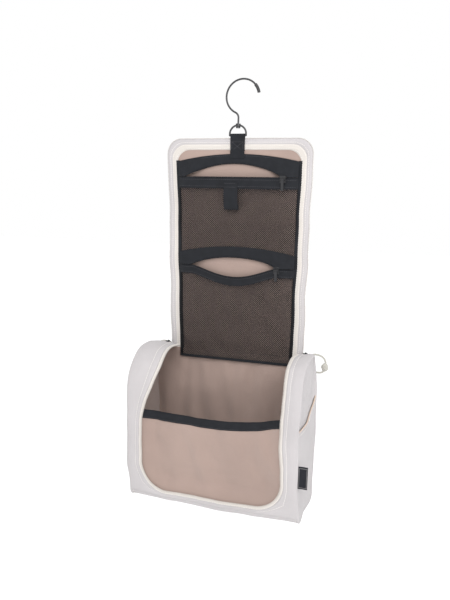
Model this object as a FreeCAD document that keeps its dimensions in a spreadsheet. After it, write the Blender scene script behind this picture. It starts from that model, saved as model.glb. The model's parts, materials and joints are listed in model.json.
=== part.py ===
import FreeCAD, Part
import math
import os

import Sketcher
from FreeCAD import Placement, Rotation, Vector

# A toiletry bag that hangs from its own hook, with its lid opened upwards.
# All sizes are in millimetres.  The origin is the inside of the hook's crown,
# the point that a rail touches.  +Z is up, the front faces -Y and +X is on
# the right of somebody facing the bag.
#
# Three frames are used, each a Placement of its sub-parts:
#   the hook's own frame is the model's frame;
#   the lid's frame has its origin on the D-ring's bar and leans back a little,
#   with the lid's cloth in its XZ plane;
#   the bag's frame stands upright, with its origin at the middle of the lower
#   edge of the back panel.

SIZES = {
    # hook
    "hook_wire_r": 1.25,
    "crook_r": 23.0,
    "crook_shift": 5.0,
    "bend_r": 8.0,
    "hook_tip_angle": 16.0,
    "tip_cap_r": 2.1,
    "tip_cap_sweep": 30.0,
    "shank_end_z": -61.5,
    "rivet_r": 3.0,
    "rivet_tall": 2.0,
    # D-ring
    "ring_wire_r": 1.25,
    "ring_half": 11.55,
    "ring_bar_z": -73.1,
    "ring_side": 2.05,
    "hub_r": 3.4,
    "hub_tall": 3.6,
    "hub_bore_r": 1.35,
    # hanger webbing, folded over the bar
    "webbing_wide": 20.0,
    "webbing_thick": 1.2,
    "loop_bore_r": 1.35,
    "loop_end": 4.2,
    "tail_top": 7.5,
    "webbing_drop": 20.5,
    # lid, hanging up from the back panel
    "lean": 4.0,
    "lid_edge_z": 4.5,
    "lid_half_top": 102.0,
    "lid_half_end": 98.0,
    "lid_long": 297.0,
    "lid_corner_r": 20.0,
    "lid_back_y": 4.5,
    "lid_front_y": 1.5,
    "canvas": 1.6,
    "lining": 1.0,
    "border_wide": 14.0,
    "fold_one": 136.0,
    "fold_two": 204.0,
    "fold_three": 253.0,
    "gap_one": 1.0,
    "gap_two": 1.9,
    # mesh pockets on the lid
    "pocket_front_y": -7.0,
    "pocket_wall": 1.0,
    "pocket_tape_half": 80.0,
    "upper_half": 86.0,
    "lower_half": 84.0,
    "keeper_x": -7.5,
    "keeper_gap": 6.0,
    # distances down the lid, measured from its top edge
    "upper_tape_crest": 20.0,
    "upper_tape_ends": 28.0,
    "upper_slot_crest": 33.0,
    "upper_slot_ends": 48.0,
    "upper_zip_down": 52.0,
    "upper_mesh_down": 67.0,
    "upper_mesh_end": 133.0,
    "upper_hem_down": 139.0,
    "upper_floor_down": 143.5,
    "lower_tape_crest": 146.0,
    "lower_tape_ends": 152.0,
    "lower_slot_crest": 158.0,
    "lower_slot_ends": 171.0,
    "lower_zip_down": 174.0,
    "lower_zip_end": 197.0,
    "lower_mesh_down": 211.0,
    "lower_mesh_end": 245.5,
    "lower_foot_down": 260.5,
    "lower_floor_down": 287.0,
    "keeper_down": 59.0,
    "keeper_bow_down": 70.0,
    "keeper_end": 94.0,
    # parked sliders of the pocket zips
    "upper_slider_x": 66.0,
    "upper_slider_down": 53.0,
    "lower_slider_x": 60.0,
    "lower_slider_down": 175.0,
    # bag
    "bag_half": 120.0,
    "bag_deep": 100.0,
    "hinge_z": 197.0,
    "arch_y": 40.0,
    "arch_top_z": 208.0,
    "back_arc_r": 78.2,
    "front_arc_r": 60.0,
    "edge_r": 8.0,
    "opening_half": 99.5,
    "opening_low_z": 11.0,
    "opening_corner_r": 42.0,
    "band_top_z": 60.0,
    "tape_wide": 6.5,
    "tape_start": 71.0,
    "gusset_x": 115.5,
    "panel_y": -86.0,
    "panel_top_z": 117.0,
    "binding_low_z": 111.0,
    "binding_top_z": 123.0,
    "side_pocket_x": 121.7,
    "side_pocket_back_z": 147.0,
    "side_pocket_front_z": 118.0,
    "side_pocket_arc_r": 155.0,
    "label_wide": 14.0,
    "label_low_z": 48.0,
    "label_tall": 29.0,
    # cord pulls of the main zip
    "cord_r": 1.3,
    "knot_r": 4.0,
    "knot_tall_r": 5.5,
}

SHEET = "Sizes"


class Size:
    """A number that also knows the sheet expression it comes from."""

    def __init__(self, value, text):
        self.value = value
        self.text = text

    def join(self, other, sign, value):
        return Size(value, f"({self.text} {sign} {as_size(other).text})")

    def __add__(self, other):
        return self.join(other, "+", self.value + as_size(other).value)

    def __sub__(self, other):
        return self.join(other, "-", self.value - as_size(other).value)

    def __mul__(self, other):
        return self.join(other, "*", self.value * as_size(other).value)

    def __truediv__(self, other):
        return self.join(other, "/", self.value / as_size(other).value)

    def __neg__(self):
        return Size(-self.value, f"(0 - {self.text})")

    def __radd__(self, other):
        return as_size(other) + self

    def __rsub__(self, other):
        return as_size(other) - self


def as_size(number):
    return number if isinstance(number, Size) else Size(float(number), f"{float(number):.6f}")


def size(alias):
    return Size(float(SIZES[alias]), f"{SHEET}.{alias}")


def cosine(angle):
    return Size(math.cos(math.radians(angle.value)), f"cos({angle.text} * 1 deg)")


def sine(angle):
    return Size(math.sin(math.radians(angle.value)), f"sin({angle.text} * 1 deg)")


def root(square):
    return Size(math.sqrt(square.value), f"sqrt({square.text})")


doc = FreeCAD.newDocument("HangingToiletryBag")
sheet = doc.addObject("Spreadsheet::Sheet", SHEET)
for row, (alias, number) in enumerate(SIZES.items(), start=1):
    sheet.set(f"A{row}", alias)
    sheet.set(f"B{row}", str(number))
    sheet.setAlias(f"B{row}", alias)
doc.recompute()

parts = []  # every sub-part, in the order it was made


# ---- the three frames ------------------------------------------------------

def lid_frame():
    lean = Rotation(Vector(1, 0, 0), SIZES["lean"])
    return Placement(Vector(0, 0, SIZES["ring_bar_z"]), lean)


def bag_frame():
    hinge = Vector(0, SIZES["lid_back_y"], -SIZES["lid_edge_z"] - SIZES["lid_long"])
    hinge = lid_frame().multVec(hinge)
    return Placement(hinge - Vector(0, 0, SIZES["hinge_z"]), Rotation())


HOOK = Placement()
LID = lid_frame()
BAG = bag_frame()


# ---- helpers ---------------------------------------------------------------

def keep(part, label, frame):
    """Names a finished sub-part and sets it in its frame."""
    part.Label = label
    part.Placement = frame.multiply(part.Placement)
    parts.append(part)
    return part


def bind(thing, **props):
    for name, value in props.items():
        value = as_size(value)
        setattr(thing, name, value.value)
        thing.setExpression(name, value.text)


def new_sketch(body, role, offset):
    """A sketch on one of a body's origin planes, moved along its normal."""
    sketch = body.newObject("Sketcher::SketchObject", "Sketch")
    plane = [f for f in body.Origin.OriginFeatures if f.Role == role][0]
    sketch.AttachmentSupport = [(plane, "")]
    sketch.MapMode = "FlatFace"
    offset = as_size(offset)
    sketch.AttachmentOffset = Placement(Vector(0, 0, offset.value), Rotation())
    sketch.setExpression("AttachmentOffset.Base.z", offset.text)
    return sketch


def arc_through(start, end, radius):
    """An arc from start to end: to the left if radius is positive, else right."""
    middle = (start + end) / 2
    across = end - start
    left = Vector(-across.y, across.x, 0).normalize()
    rise = math.sqrt(max(radius * radius - across.Length ** 2 / 4, 0))
    centre = middle + left * (rise if radius > 0 else -rise)
    bulge = centre - left * abs(radius) if radius > 0 else centre + left * abs(radius)
    return Part.Arc(start, bulge, end)


def draw(sketch, corners):
    """A closed outline.  A corner is (x, y), or (x, y, r) where an arc of
    radius r leads to it: leftwards if r is positive, rightwards if negative."""
    count = len(corners)
    spots = [Vector(as_size(c[0]).value, as_size(c[1]).value, 0) for c in corners]
    for i in range(count):
        after = (i + 1) % count
        if len(corners[after]) == 3:
            radius = as_size(corners[after][2]).value
            arc = arc_through(spots[i], spots[after], radius)
            sketch.addGeometry(arc, False)
        else:
            sketch.addGeometry(Part.LineSegment(spots[i], spots[after]), False)
    # an arc is stored running leftwards, so one drawn rightwards starts at its end
    first = [2 if len(c) == 3 and as_size(c[2]).value < 0 else 1
             for c in corners[1:] + corners[:1]]
    for i in range(count):
        after = (i + 1) % count
        sketch.addConstraint(
            Sketcher.Constraint("Coincident", i, 3 - first[i], after, first[after]))
    for i, corner in enumerate(corners):
        pin(sketch, i, first[i], "DistanceX", corner[0])
        pin(sketch, i, first[i], "DistanceY", corner[1])
        if len(corner) == 3:
            radius = as_size(corner[2])
            radius = radius if radius.value > 0 else -radius
            arc = (i - 1) % count
            place = sketch.addConstraint(Sketcher.Constraint("Radius", arc, radius.value))
            sketch.setExpression(f"Constraints[{place}]", radius.text)


def pin(sketch, piece, end, kind, value):
    """Holds one end of a line at a distance from the sketch's origin."""
    value = as_size(value)
    if abs(value.value) < 1e-9:
        axis = -2 if kind == "DistanceX" else -1
        sketch.addConstraint(Sketcher.Constraint("PointOnObject", piece, end, axis))
        return
    place = sketch.addConstraint(
        Sketcher.Constraint(kind, -1, 1, piece, end, value.value))
    sketch.setExpression(f"Constraints[{place}]", value.text)


def padded(label, frame, role, start, deep, corners):
    """A body padded from one outline; role names the sketch's plane."""
    body = doc.addObject("PartDesign::Body", "Body")
    sketch = new_sketch(body, role, start)
    draw(sketch, corners)
    pad = body.newObject("PartDesign::Pad", "Pad")
    pad.Profile = sketch
    bind(pad, Length=deep)
    return keep(body, label, frame) if label else body


def add_pad(body, role, start, deep, corners):
    sketch = new_sketch(body, role, start)
    draw(sketch, corners)
    pad = body.newObject("PartDesign::Pad", "Pad")
    pad.Profile = sketch
    bind(pad, Length=deep)
    return body


def pocketed(body, role, start, deep, corners):
    """Cuts an outline into a body, in the direction of the plane's normal."""
    sketch = new_sketch(body, role, start)
    draw(sketch, corners)
    doc.recompute()
    before = body.Shape.Volume
    pocket = body.newObject("PartDesign::Pocket", "Pocket")
    pocket.Profile = sketch
    bind(pocket, Length=deep)
    pocket.Reversed = True
    doc.recompute()
    if body.Shape.Volume > before - 1:
        raise RuntimeError(f"{body.Label}: the pocket cut nothing")
    return body


def plate(label, frame, back_y, thick, corners):
    """A flat piece of cloth: an outline in (x, z), thickened towards the front."""
    return padded(label, frame, "XZ_Plane", -as_size(back_y), thick, corners)


def across(label, frame, low_x, wide, corners):
    """A section in (y, z), run along X."""
    return padded(label, frame, "YZ_Plane", low_x, wide, corners)


def block(label, frame, low, high):
    """A box from its lowest to its highest corner."""
    box = doc.addObject("Part::Box", "Box")
    low = [as_size(v) for v in low]
    high = [as_size(v) for v in high]
    bind(box, Length=high[0] - low[0], Width=high[1] - low[1], Height=high[2] - low[2])
    box.Placement = Placement(Vector(*[v.value for v in low]), Rotation())
    return keep(box, label, frame) if label else box


def rod(radius, long, spot, axis):
    """A cylinder from spot along axis."""
    cylinder = doc.addObject("Part::Cylinder", "Cylinder")
    bind(cylinder, Radius=radius, Height=long)
    turn = Rotation(Vector(0, 0, 1), axis)
    cylinder.Placement = Placement(Vector(*[as_size(v).value for v in spot]), turn)
    return cylinder


def bent_rod(radius, thick, sweep, centre, turn):
    """A length of torus in the XZ plane, from the angle turn through sweep."""
    torus = doc.addObject("Part::Torus", "Torus")
    bind(torus, Radius1=radius, Radius2=thick, Angle3=sweep)
    upright = Rotation(Vector(1, 0, 0), 90)
    start = Rotation(Vector(0, -1, 0), turn)
    torus.Placement = Placement(centre, start.multiply(upright))
    return torus


def fused(shapes):
    fuse = doc.addObject("Part::MultiFuse", "Fuse")
    fuse.Shapes = shapes
    return fuse


def cut(base, tool):
    result = doc.addObject("Part::Cut", "Cut")
    result.Base = base
    result.Tool = tool
    return result


# ---- hook, D-ring and hanger -----------------------------------------------

def hook_centre():
    top = SIZES["hook_wire_r"] - SIZES["crook_r"]
    return Vector(SIZES["crook_shift"], 0, top)


def hook_bend_angle():
    """Where the crook meets the smaller bend above the shank, in degrees."""
    reach = SIZES["crook_shift"] + SIZES["bend_r"]
    return 360 - math.degrees(math.acos(-reach / (SIZES["crook_r"] + SIZES["bend_r"])))


def make_hook():
    """The wire crook, its shank, the soft cap on its tip and the rivet head."""
    wire, crook, bend = size("hook_wire_r"), size("crook_r"), size("bend_r")
    centre, tip, low = hook_centre(), SIZES["hook_tip_angle"], hook_bend_angle()
    reach = crook.value + bend.value
    bend_z = centre.z + reach * math.sin(math.radians(low))
    bend_centre = Vector(-bend.value, 0, bend_z)
    shank_long = bend_z - SIZES["shank_end_z"]
    pieces = [
        bent_rod(crook, wire, low - tip, centre, tip),
        bent_rod(bend, wire, low - 180, bend_centre, 0),
        rod(wire, shank_long, (0, 0, bend_z), Vector(0, 0, -1)),
    ]
    keep(fused(pieces), "hook_wire", HOOK)

    sweep = size("tip_cap_sweep")
    over = 4.0  # degrees that the cap reaches past the wire's end
    cap = bent_rod(crook, size("tip_cap_r"), sweep, centre, tip - over)
    core = bent_rod(crook, wire, sweep, centre, tip)
    keep(cut(cap, core), "hook_tip_cap", HOOK)

    head = rod(size("rivet_r"), size("rivet_tall"), (0, 0, size("shank_end_z")),
               Vector(0, 0, -1))
    keep(head, "shank_rivet", HOOK)


def make_ring():
    """A straight bar closed by a half circle, with a bored hub at its top."""
    wire, half, bar_z = size("ring_wire_r"), size("ring_half"), size("ring_bar_z")
    side_top = (bar_z + size("ring_side")).value
    pieces = [rod(wire, half * 2, (-half, 0, bar_z), Vector(1, 0, 0))]
    for end in (-half.value, half.value):
        pieces.append(rod(wire, size("ring_side"), (end, 0, bar_z), Vector(0, 0, 1)))
        ball = doc.addObject("Part::Sphere", "Sphere")
        bind(ball, Radius=wire)
        ball.Placement = Placement(Vector(end, 0, bar_z.value), Rotation())
        pieces.append(ball)
    pieces.append(bent_rod(half, wire, Size(180.0, "180"), Vector(0, 0, side_top), 0))
    hub_low = side_top + half.value - SIZES["hub_tall"] / 2
    pieces.append(rod(size("hub_r"), size("hub_tall"), (0, 0, hub_low), Vector(0, 0, 1)))
    bore = rod(size("hub_bore_r"), size("hub_tall") + 2, (0, 0, hub_low - 1),
               Vector(0, 0, 1))
    keep(cut(fused(pieces), bore), "d_ring", HOOK)


def make_hanger():
    """Webbing doubled over the ring's bar, and its tail, sewn down on the lid.
    It bends between the two."""
    thick, bore = size("webbing_thick"), size("loop_bore_r")
    outer, end = bore + thick, -size("loop_end")
    half = size("webbing_wide") / 2
    body = across("hanger_webbing", LID, -half, half * 2, [
        (outer, 0), (0, outer, outer), (-outer, 0, outer), (-thick, end), (thick, end)])
    pinch, sewn = 0.05, end + 0.7
    slot = [(bore, 0), (0, bore, bore), (-bore, 0, bore), (-pinch, sewn), (pinch, sewn)]
    pocketed(body, "YZ_Plane", -half, half * 2, slot)
    rear = size("lid_front_y") - 0.1
    block("hanger_tail", LID, (-half, rear - thick, -size("webbing_drop")),
          (half, rear, -size("tail_top")))


# ---- lid -------------------------------------------------------------------

def lid_half(down):
    """Half the lid's width at a distance down from its top edge."""
    shrink = (size("lid_half_top") - size("lid_half_end")) / size("lid_long")
    return size("lid_half_top") - shrink * down


def lid_z(down):
    return -(size("lid_edge_z") + down)


def trapezium(half_top, half_low, top, low):
    return [(-half_low, low), (half_low, low), (half_top, top), (-half_top, top)]


def round_top(half_top, half_low, top, low, radius):
    """As a trapezium, with its two upper corners rounded."""
    return [(-half_low, low), (half_low, low), (half_top, top - radius),
            (half_top - radius, top, radius), (radius - half_top, top),
            (-half_top, top - radius, radius)]


def lid_cloth():
    """The outer canvas, the lining and the zip border, one set per panel."""
    folds = [size("fold_one"), size("fold_two"), size("fold_three"), size("lid_long")]
    above = [0, size("gap_one"), size("gap_two"), size("gap_two")]
    below = [size("gap_one"), size("gap_two"), size("gap_two"), size("gap_two")]
    names = ("top", "middle", "lower", "base")
    back = size("lid_back_y")
    front = size("lid_front_y") + size("lining")
    wide, corner = size("border_wide"), size("lid_corner_r")
    start = Size(0.0, "0")
    for name, fold, gap_up, gap_down in zip(names, folds, above, below):
        high, low = start + gap_up, fold - gap_down
        start = fold
        half_high, half_low = lid_half(high), lid_half(low)
        top, end = lid_z(high), lid_z(low)
        inner_high, inner_low = half_high - wide, half_low - wide
        if name == "top":
            outline = round_top(half_high, half_low, top, end, corner)
            inner = round_top(inner_high, inner_low, top - wide, end, corner - wide)
        else:
            outline = trapezium(half_high, half_low, top, end)
            inner = trapezium(inner_high, inner_low, top, end)
        plate(f"lid_canvas_{name}", LID, back, size("canvas"), outline)
        plate(f"lid_lining_{name}", LID, front, size("lining"), inner)
        if name == "top":
            body = plate("lid_border_top", LID, front, size("lining"), outline)
            inner = round_top(inner_high, inner_low, top - wide, end - 5, corner - wide)
            pocketed(body, "XZ_Plane", -front, size("lining"), inner)
            continue
        for side, word in ((-1, "left"), (1, "right")):
            strip = [(half_low * side, end), (half_high * side, top),
                     (inner_high * side, top), (inner_low * side, end)]
            plate(f"lid_border_{name}_{word}", LID, front, size("lining"), strip)


def tray(label, half, high, low, floor=False):
    """A stretch of a lid pocket: a front sheet with a side wall at each end.
    high and low name its distances down the lid."""
    wall, back, front = size("pocket_wall"), size("lid_front_y"), size("pocket_front_y")
    inner, half = size(half) - wall, size(half)
    start = lid_z(size(low))
    body = padded(label, LID, "XY_Plane", start, size(low) - size(high), [
        (-half, back), (-half, front), (half, front), (half, back),
        (inner, back), (inner, front + wall), (-inner, front + wall), (-inner, back)])
    if floor:
        add_pad(body, "XY_Plane", start - wall, wall, [
            (-half, back), (-half, front), (half, front), (half, back)])


def bow(half, ends, crest):
    """Radius of the curve through two ends and a crest that stands higher."""
    rise = ends - crest
    return (half * half + rise * rise) / (rise * 2)


def arched_tape(pocket):
    """The upper tape of a pocket's zip: it bows up over the open slot."""
    half, wall = size("pocket_tape_half"), size("pocket_wall")
    top_ends, top_crest = size(f"{pocket}_tape_ends"), size(f"{pocket}_tape_crest")
    low_ends, low_crest = size(f"{pocket}_slot_ends"), size(f"{pocket}_slot_crest")
    top_z, low_z = lid_z(top_ends), lid_z(low_ends)
    plate(f"{pocket}_zip_upper_tape", LID, size("lid_front_y"), wall, [
        (-half, low_z), (half, low_z, -bow(half, low_ends, low_crest)),
        (half, top_z), (-half, top_z, bow(half, top_ends, top_crest))])


def keeper():
    """A webbing strap sewn on the mesh; its lower half stands off in a bow."""
    thick, wide, face = size("webbing_thick"), size("webbing_wide"), size("pocket_front_y")
    out, sewn = face - size("keeper_gap"), face - thick
    high, bend, low = (lid_z(size(name))
                       for name in ("keeper_down", "keeper_bow_down", "keeper_end"))
    across("hook_keeper", LID, size("keeper_x") - wide / 2, wide, [
        (face, high), (sewn, high), (sewn, bend), (out - thick, bend),
        (out - thick, low), (face, low), (face, low + thick), (out, low + thick),
        (out, bend - thick), (face, bend - thick)])


def circle_outline(centre_x, centre_y, radius):
    """A round outline, as four quarter arcs."""
    return [(centre_x + radius, centre_y, radius), (centre_x, centre_y + radius, radius),
            (centre_x - radius, centre_y, radius), (centre_x, centre_y - radius, radius)]


def slider(pocket):
    """A zip slider that straddles the lower tape's upper edge."""
    spot_x, down = size(f"{pocket}_slider_x"), size(f"{pocket}_slider_down")
    slack, skin, wide, above, below = 0.3, 1.2, 8.0, 4.5, 5.0
    bridge = 3.2  # thickness of the piece that joins the two skins
    face = size("pocket_front_y") - slack - skin
    rear = size("pocket_front_y") + size("pocket_wall") + slack + skin
    top, low, pin_z = lid_z(down - above), lid_z(down + below), lid_z(down)
    section = [(rear, low), (rear, top), (face, top), (face, low),
               (face + skin, low), (face + skin, top - bridge),
               (rear - skin, top - bridge), (rear - skin, low)]
    body = across(f"{pocket}_zip_slider", LID, spot_x - wide / 2, as_size(wide), section)

    lug, lug_half, lug_reach, lug_gap, pin_reach, pin_r = 1.0, 1.1, 2.4, 2.2, 1.4, 0.5
    for start in (spot_x - lug_gap - lug, spot_x + lug_gap):
        add_pad(body, "YZ_Plane", start, as_size(lug), [
            (face, pin_z - lug_half), (face, pin_z + lug_half),
            (face - lug_reach, pin_z + lug_half), (face - lug_reach, pin_z - lug_half)])
    pin_half = lug_gap + lug / 2
    add_pad(body, "YZ_Plane", spot_x - pin_half, as_size(pin_half * 2),
            circle_outline(face - pin_reach, pin_z, pin_r))
    puller(f"{pocket}_zip_puller", spot_x, face - pin_reach, pin_z)


def puller(label, spot_x, pin_y, pin_z):
    """The pull tab of a pocket zip, hanging on the slider's pin."""
    knuckle, bore, half, thick, tail = 1.3, 0.6, 1.9, 1.2, 15.0
    tube = rod(as_size(knuckle), as_size(2 * half), (spot_x - half, pin_y, pin_z),
               Vector(1, 0, 0))
    tab = block("", LID, (spot_x - half, pin_y - thick / 2, pin_z - tail),
                (spot_x + half, pin_y + thick / 2, pin_z))
    hole = rod(as_size(bore), as_size(2 * half + 2), (spot_x - half - 1, pin_y, pin_z),
               Vector(1, 0, 0))
    keep(cut(fused([tube, tab]), hole), label, LID)


def make_lid():
    lid_cloth()
    arched_tape("upper")
    tray("upper_zip_lower_tape", "upper_half", "upper_zip_down", "upper_mesh_down")
    tray("upper_mesh", "upper_half", "upper_mesh_down", "upper_mesh_end")
    tray("upper_mesh_hem", "upper_half", "upper_hem_down", "upper_floor_down", floor=True)
    keeper()
    arched_tape("lower")
    tray("lower_zip_lower_tape", "lower_half", "lower_zip_down", "lower_zip_end")
    tray("lower_mesh_upper", "lower_half", "lower_mesh_down", "lower_mesh_end")
    tray("lower_mesh_base", "lower_half", "lower_foot_down", "lower_floor_down", floor=True)
    slider("upper")
    slider("lower")


# ---- bag -------------------------------------------------------------------

def back_arc_end(inset):
    """Height at which the arch, moved inwards by inset, meets the back."""
    radius, run = size("back_arc_r") - inset, size("arch_y") - inset
    centre = size("arch_top_z") - size("back_arc_r")
    return centre + root(radius * radius - run * run)


def side_outline(inset):
    """The bag's side: upright back, arched top, upright front, rounded foot."""
    edge, deep, top = size("edge_r"), size("bag_deep"), size("arch_top_z")
    shoulder = top - size("front_arc_r")
    return [
        (-inset, edge, edge - inset), (-inset, back_arc_end(inset)),
        (-size("arch_y"), top - inset, size("back_arc_r") - inset),
        (inset - deep, shoulder, size("front_arc_r") - inset),
        (inset - deep, edge), (edge - deep, inset, edge - inset), (-edge, inset)]


def arch_band(outer, inner, low_z, start=None):
    """A strip of cloth that follows the arch from the back to the front."""
    deep, top, run = size("bag_deep"), size("arch_top_z"), size("arch_y")
    back_r, front_r = size("back_arc_r"), size("front_arc_r")
    centre, shoulder = top - back_r, top - front_r

    def first(inset):
        if start is None:
            return (-inset, back_arc_end(inset))
        radius = back_r - inset
        return (radius * cosine(start) - run, radius * sine(start) + centre)

    inner_y, inner_z = first(inner)
    return [
        first(outer), (-run, top - outer, back_r - outer),
        (outer - deep, shoulder, front_r - outer), (outer - deep, low_z),
        (inner - deep, low_z), (inner - deep, shoulder),
        (-run, top - inner, inner - front_r), (inner_y, inner_z, inner - back_r)]


def opening(half, low, radius, top):
    """The U-shaped mouth's edge, from its upper right round to its upper left."""
    return [(half, top), (half, low + radius), (half - radius, low, -radius),
            (radius - half, low), (-half, low + radius, -radius), (-half, top)]


def make_shells():
    half, deep, edge = size("bag_half"), size("bag_deep"), size("edge_r")
    cloth, thin, gap = size("canvas"), size("lining"), as_size(0.3)
    inner = cloth + gap
    seam = size("hinge_z") - size("gap_two")
    block("back_canvas", BAG, (-half, -cloth, edge), (half, 0, seam))
    lined = size("gusset_x") - gap - thin
    block("back_lining", BAG, (-lined, -inner - thin, edge), (lined, -inner, seam))
    across("bottom_canvas", BAG, -half, half * 2, [
        (0, edge), (-edge, 0, -edge), (edge - deep, 0), (-deep, edge, -edge),
        (cloth - deep, edge), (edge - deep, cloth, edge - cloth), (-edge, cloth),
        (-cloth, edge, edge - cloth)])
    block("bottom_lining", BAG, (-lined, edge - deep, inner), (lined, -edge, inner + thin))
    for side, word in ((-1, "left"), (1, "right")):
        outline = side_outline(inner)
        wall, skin = size("gusset_x"), size("gusset_x") - 0.1 - thin
        start = wall if side > 0 else -wall - cloth
        across(f"gusset_{word}", BAG, start, cloth, outline)
        start = skin if side > 0 else -skin - thin
        across(f"gusset_lining_{word}", BAG, start, thin,
               side_outline(inner + thin + gap))


def make_mouth():
    """The canvas band and the zip tape round the U-shaped mouth."""
    half, mouth, cloth = size("bag_half"), size("opening_half"), size("canvas")
    top, low, corner = size("band_top_z"), size("opening_low_z"), size("opening_corner_r")
    wide, deep = size("tape_wide"), size("bag_deep")
    nothing = Size(0.0, "0")
    for side, word in ((-1, "left"), (1, "right")):
        start = mouth if side > 0 else -half
        across(f"rim_{word}", BAG, start, half - mouth, arch_band(nothing, cloth, top))
        start = mouth - wide if side > 0 else -mouth
        across(f"mouth_tape_{word}", BAG, start, wide,
               arch_band(as_size(0.6), cloth, top, size("tape_start")))
    plate("front_band", BAG, cloth - deep, cloth,
          [(-half, size("edge_r")), (half, size("edge_r")), (half, top)]
          + opening(mouth, low, corner, top) + [(-half, top)])
    inner = opening(mouth - wide, low + wide, corner - wide, top)
    outer = [(-mouth, top), (-mouth, low + corner), (corner - mouth, low, corner),
             (mouth - corner, low), (mouth, low + corner, corner), (mouth, top)]
    plate("mouth_tape_front", BAG, cloth - deep, as_size(1.0), outer + inner)


def make_front_panel():
    cloth, thin = size("canvas"), size("lining")
    lined = size("gusset_x") - 0.3 - thin
    back, top = size("panel_y"), size("panel_top_z")
    foot = cloth + thin + 0.6
    block("front_panel", BAG, (-lined, back - 1.2, foot), (lined, back, top))
    front, rear, high, low = back - 2.1, back + 0.9, size("binding_top_z"), size(
        "binding_low_z")
    across("front_panel_binding", BAG, 2.0 - lined, lined * 2 - 4.0, [
        (front, low), (front + 0.85, low), (front + 0.85, top + 0.1),
        (rear - 0.85, top + 0.1), (rear - 0.85, low), (rear, low), (rear, high),
        (front, high)])


def pocket_outline(inset, raise_by):
    """The side pocket's face: its upper edge is a hollow curve."""
    deep, edge = size("bag_deep"), size("edge_r")
    back_z = size("side_pocket_back_z") + raise_by
    front_z = size("side_pocket_front_z") + raise_by
    return [(-inset, edge, edge - inset), (-inset, back_z),
            (inset - deep, front_z, -size("side_pocket_arc_r")),
            (inset - deep, edge), (edge - deep, inset, edge - inset), (-edge, inset)]


def make_side_pockets():
    """A slip pocket on each gusset, with piping along its mouth."""
    near, face = size("gusset_x") + size("canvas"), size("side_pocket_x")
    inset, wall, bead = as_size(2.2), as_size(1.2), 2.4
    deep, arc = size("bag_deep"), size("side_pocket_arc_r")
    back_z, front_z = size("side_pocket_back_z"), size("side_pocket_front_z")
    pipings = []
    for side, word in ((-1, "left"), (1, "right")):
        start = near if side > 0 else -face - wall
        body = across(f"side_pocket_{word}", BAG, start, face + wall - near,
                      pocket_outline(inset, 0))
        start = near if side > 0 else -face
        pocketed(body, "YZ_Plane", start, face - near, pocket_outline(inset + wall, 20.0))
        start = face - 0.6 if side > 0 else -face + 0.6 - bead
        pipings.append(across("", BAG, start, as_size(bead), [
            (-inset, back_z, arc), (-inset, back_z + bead),
            (inset - deep, front_z + bead, -arc), (inset - deep, front_z)]))
    keep(fused(pipings), "side_pocket_pipings", BAG)


def make_label():
    """A blank woven tab, caught in the right front seam."""
    half, low = size("bag_half"), size("label_low_z")
    high, out = low + size("label_tall"), half + size("label_wide")
    plate("seam_label", BAG, 1.4 - size("bag_deep"), as_size(0.8),
          [(half, low), (out, low), (out, high), (half, high)])


# ---- main zip: sliders and cord pulls --------------------------------------

CORD_ROUTE = [(103.2, 3.0, 199.4), (112.0, 6.5, 199.8), (122.0, 8.8, 196.8),
              (130.0, 9.4, 189.8), (132.0, 9.0, 180.8), (125.5, 8.6, 173.8),
              (116.0, 7.6, 176.8), (108.0, 5.8, 184.3), (103.6, 3.6, 193.8)]


def rounded_wire(points):
    """Straight runs joined by tangent arcs, and the arcs' radii."""
    edges, radii, at = [], [], points[0]
    for before, corner, after in zip(points, points[1:], points[2:]):
        into, out = corner - before, after - corner
        half_turn = into.getAngle(out) / 2
        cut_back = 0.45 * min(into.Length, out.Length)
        radii.append(cut_back / math.tan(half_turn))
        start = corner - into.normalize() * cut_back
        end = corner + out.normalize() * cut_back
        inward = (start + end) / 2 - corner
        reach = radii[-1] / math.cos(half_turn) - radii[-1]
        middle = corner + inward.normalize() * reach
        edges += [Part.LineSegment(at, start).toShape(), Part.Arc(start, middle, end).toShape()]
        at = end
    edges.append(Part.LineSegment(at, points[-1]).toShape())
    return Part.Wire(edges), radii


def make_cord(word, side):
    """One cord loop, from the slider round through its knot and back."""
    radius = float(sheet.get("cord_r"))
    points = [Vector(x * side, y, z) for x, y, z in CORD_ROUTE]
    wire, radii = rounded_wire(points)
    ring = Part.Circle(points[0], points[1] - points[0], radius).toShape()
    tube = wire.makePipeShell([Part.Wire([ring])], True, True)
    cord = doc.addObject("Part::Feature", "Cord")
    cord.Shape = tube
    expected = math.pi * radius ** 2 * wire.Length
    print(f"cord_{word}: long {wire.Length:.1f}, radii "
          f"{min(radii):.1f} to {max(radii):.1f}, volume ratio {tube.Volume / expected:.4f}")
    keep(cord, f"pull_cord_{word}", BAG)

    knot = doc.addObject("Part::Ellipsoid", "Ellipsoid")
    bind(knot, Radius1=size("knot_tall_r"), Radius2=size("knot_r"), Radius3=size("knot_r"))
    knot.Placement = Placement(Vector(130.6 * side, 9.0, 181.3), Rotation())
    keep(knot, f"cord_knot_{word}", BAG)


def make_main_slider(word, side):
    """A slider parked at the end of the main zip, on the rim's back corner."""
    wide, long, tall, along = 8.0, 9.0, 4.0, 64.0
    half, radius = wide / 2, SIZES["back_arc_r"] + 0.1
    body = block("", BAG, (-half, -long / 2, radius), (half, long / 2, radius + tall))
    centre = Vector((SIZES["opening_half"] + half - 0.1) * side, -SIZES["arch_y"],
                    SIZES["arch_top_z"] - SIZES["back_arc_r"])
    turn = Placement(centre, Rotation(Vector(1, 0, 0), along - 90))
    body.Placement = turn.multiply(body.Placement)
    keep(body, f"main_slider_{word}", BAG)


def make_bag():
    make_shells()
    make_mouth()
    make_front_panel()
    make_side_pockets()
    make_label()
    for side, word in ((-1, "left"), (1, "right")):
        make_main_slider(word, side)
        make_cord(word, side)


# ---- check and write -------------------------------------------------------

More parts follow.
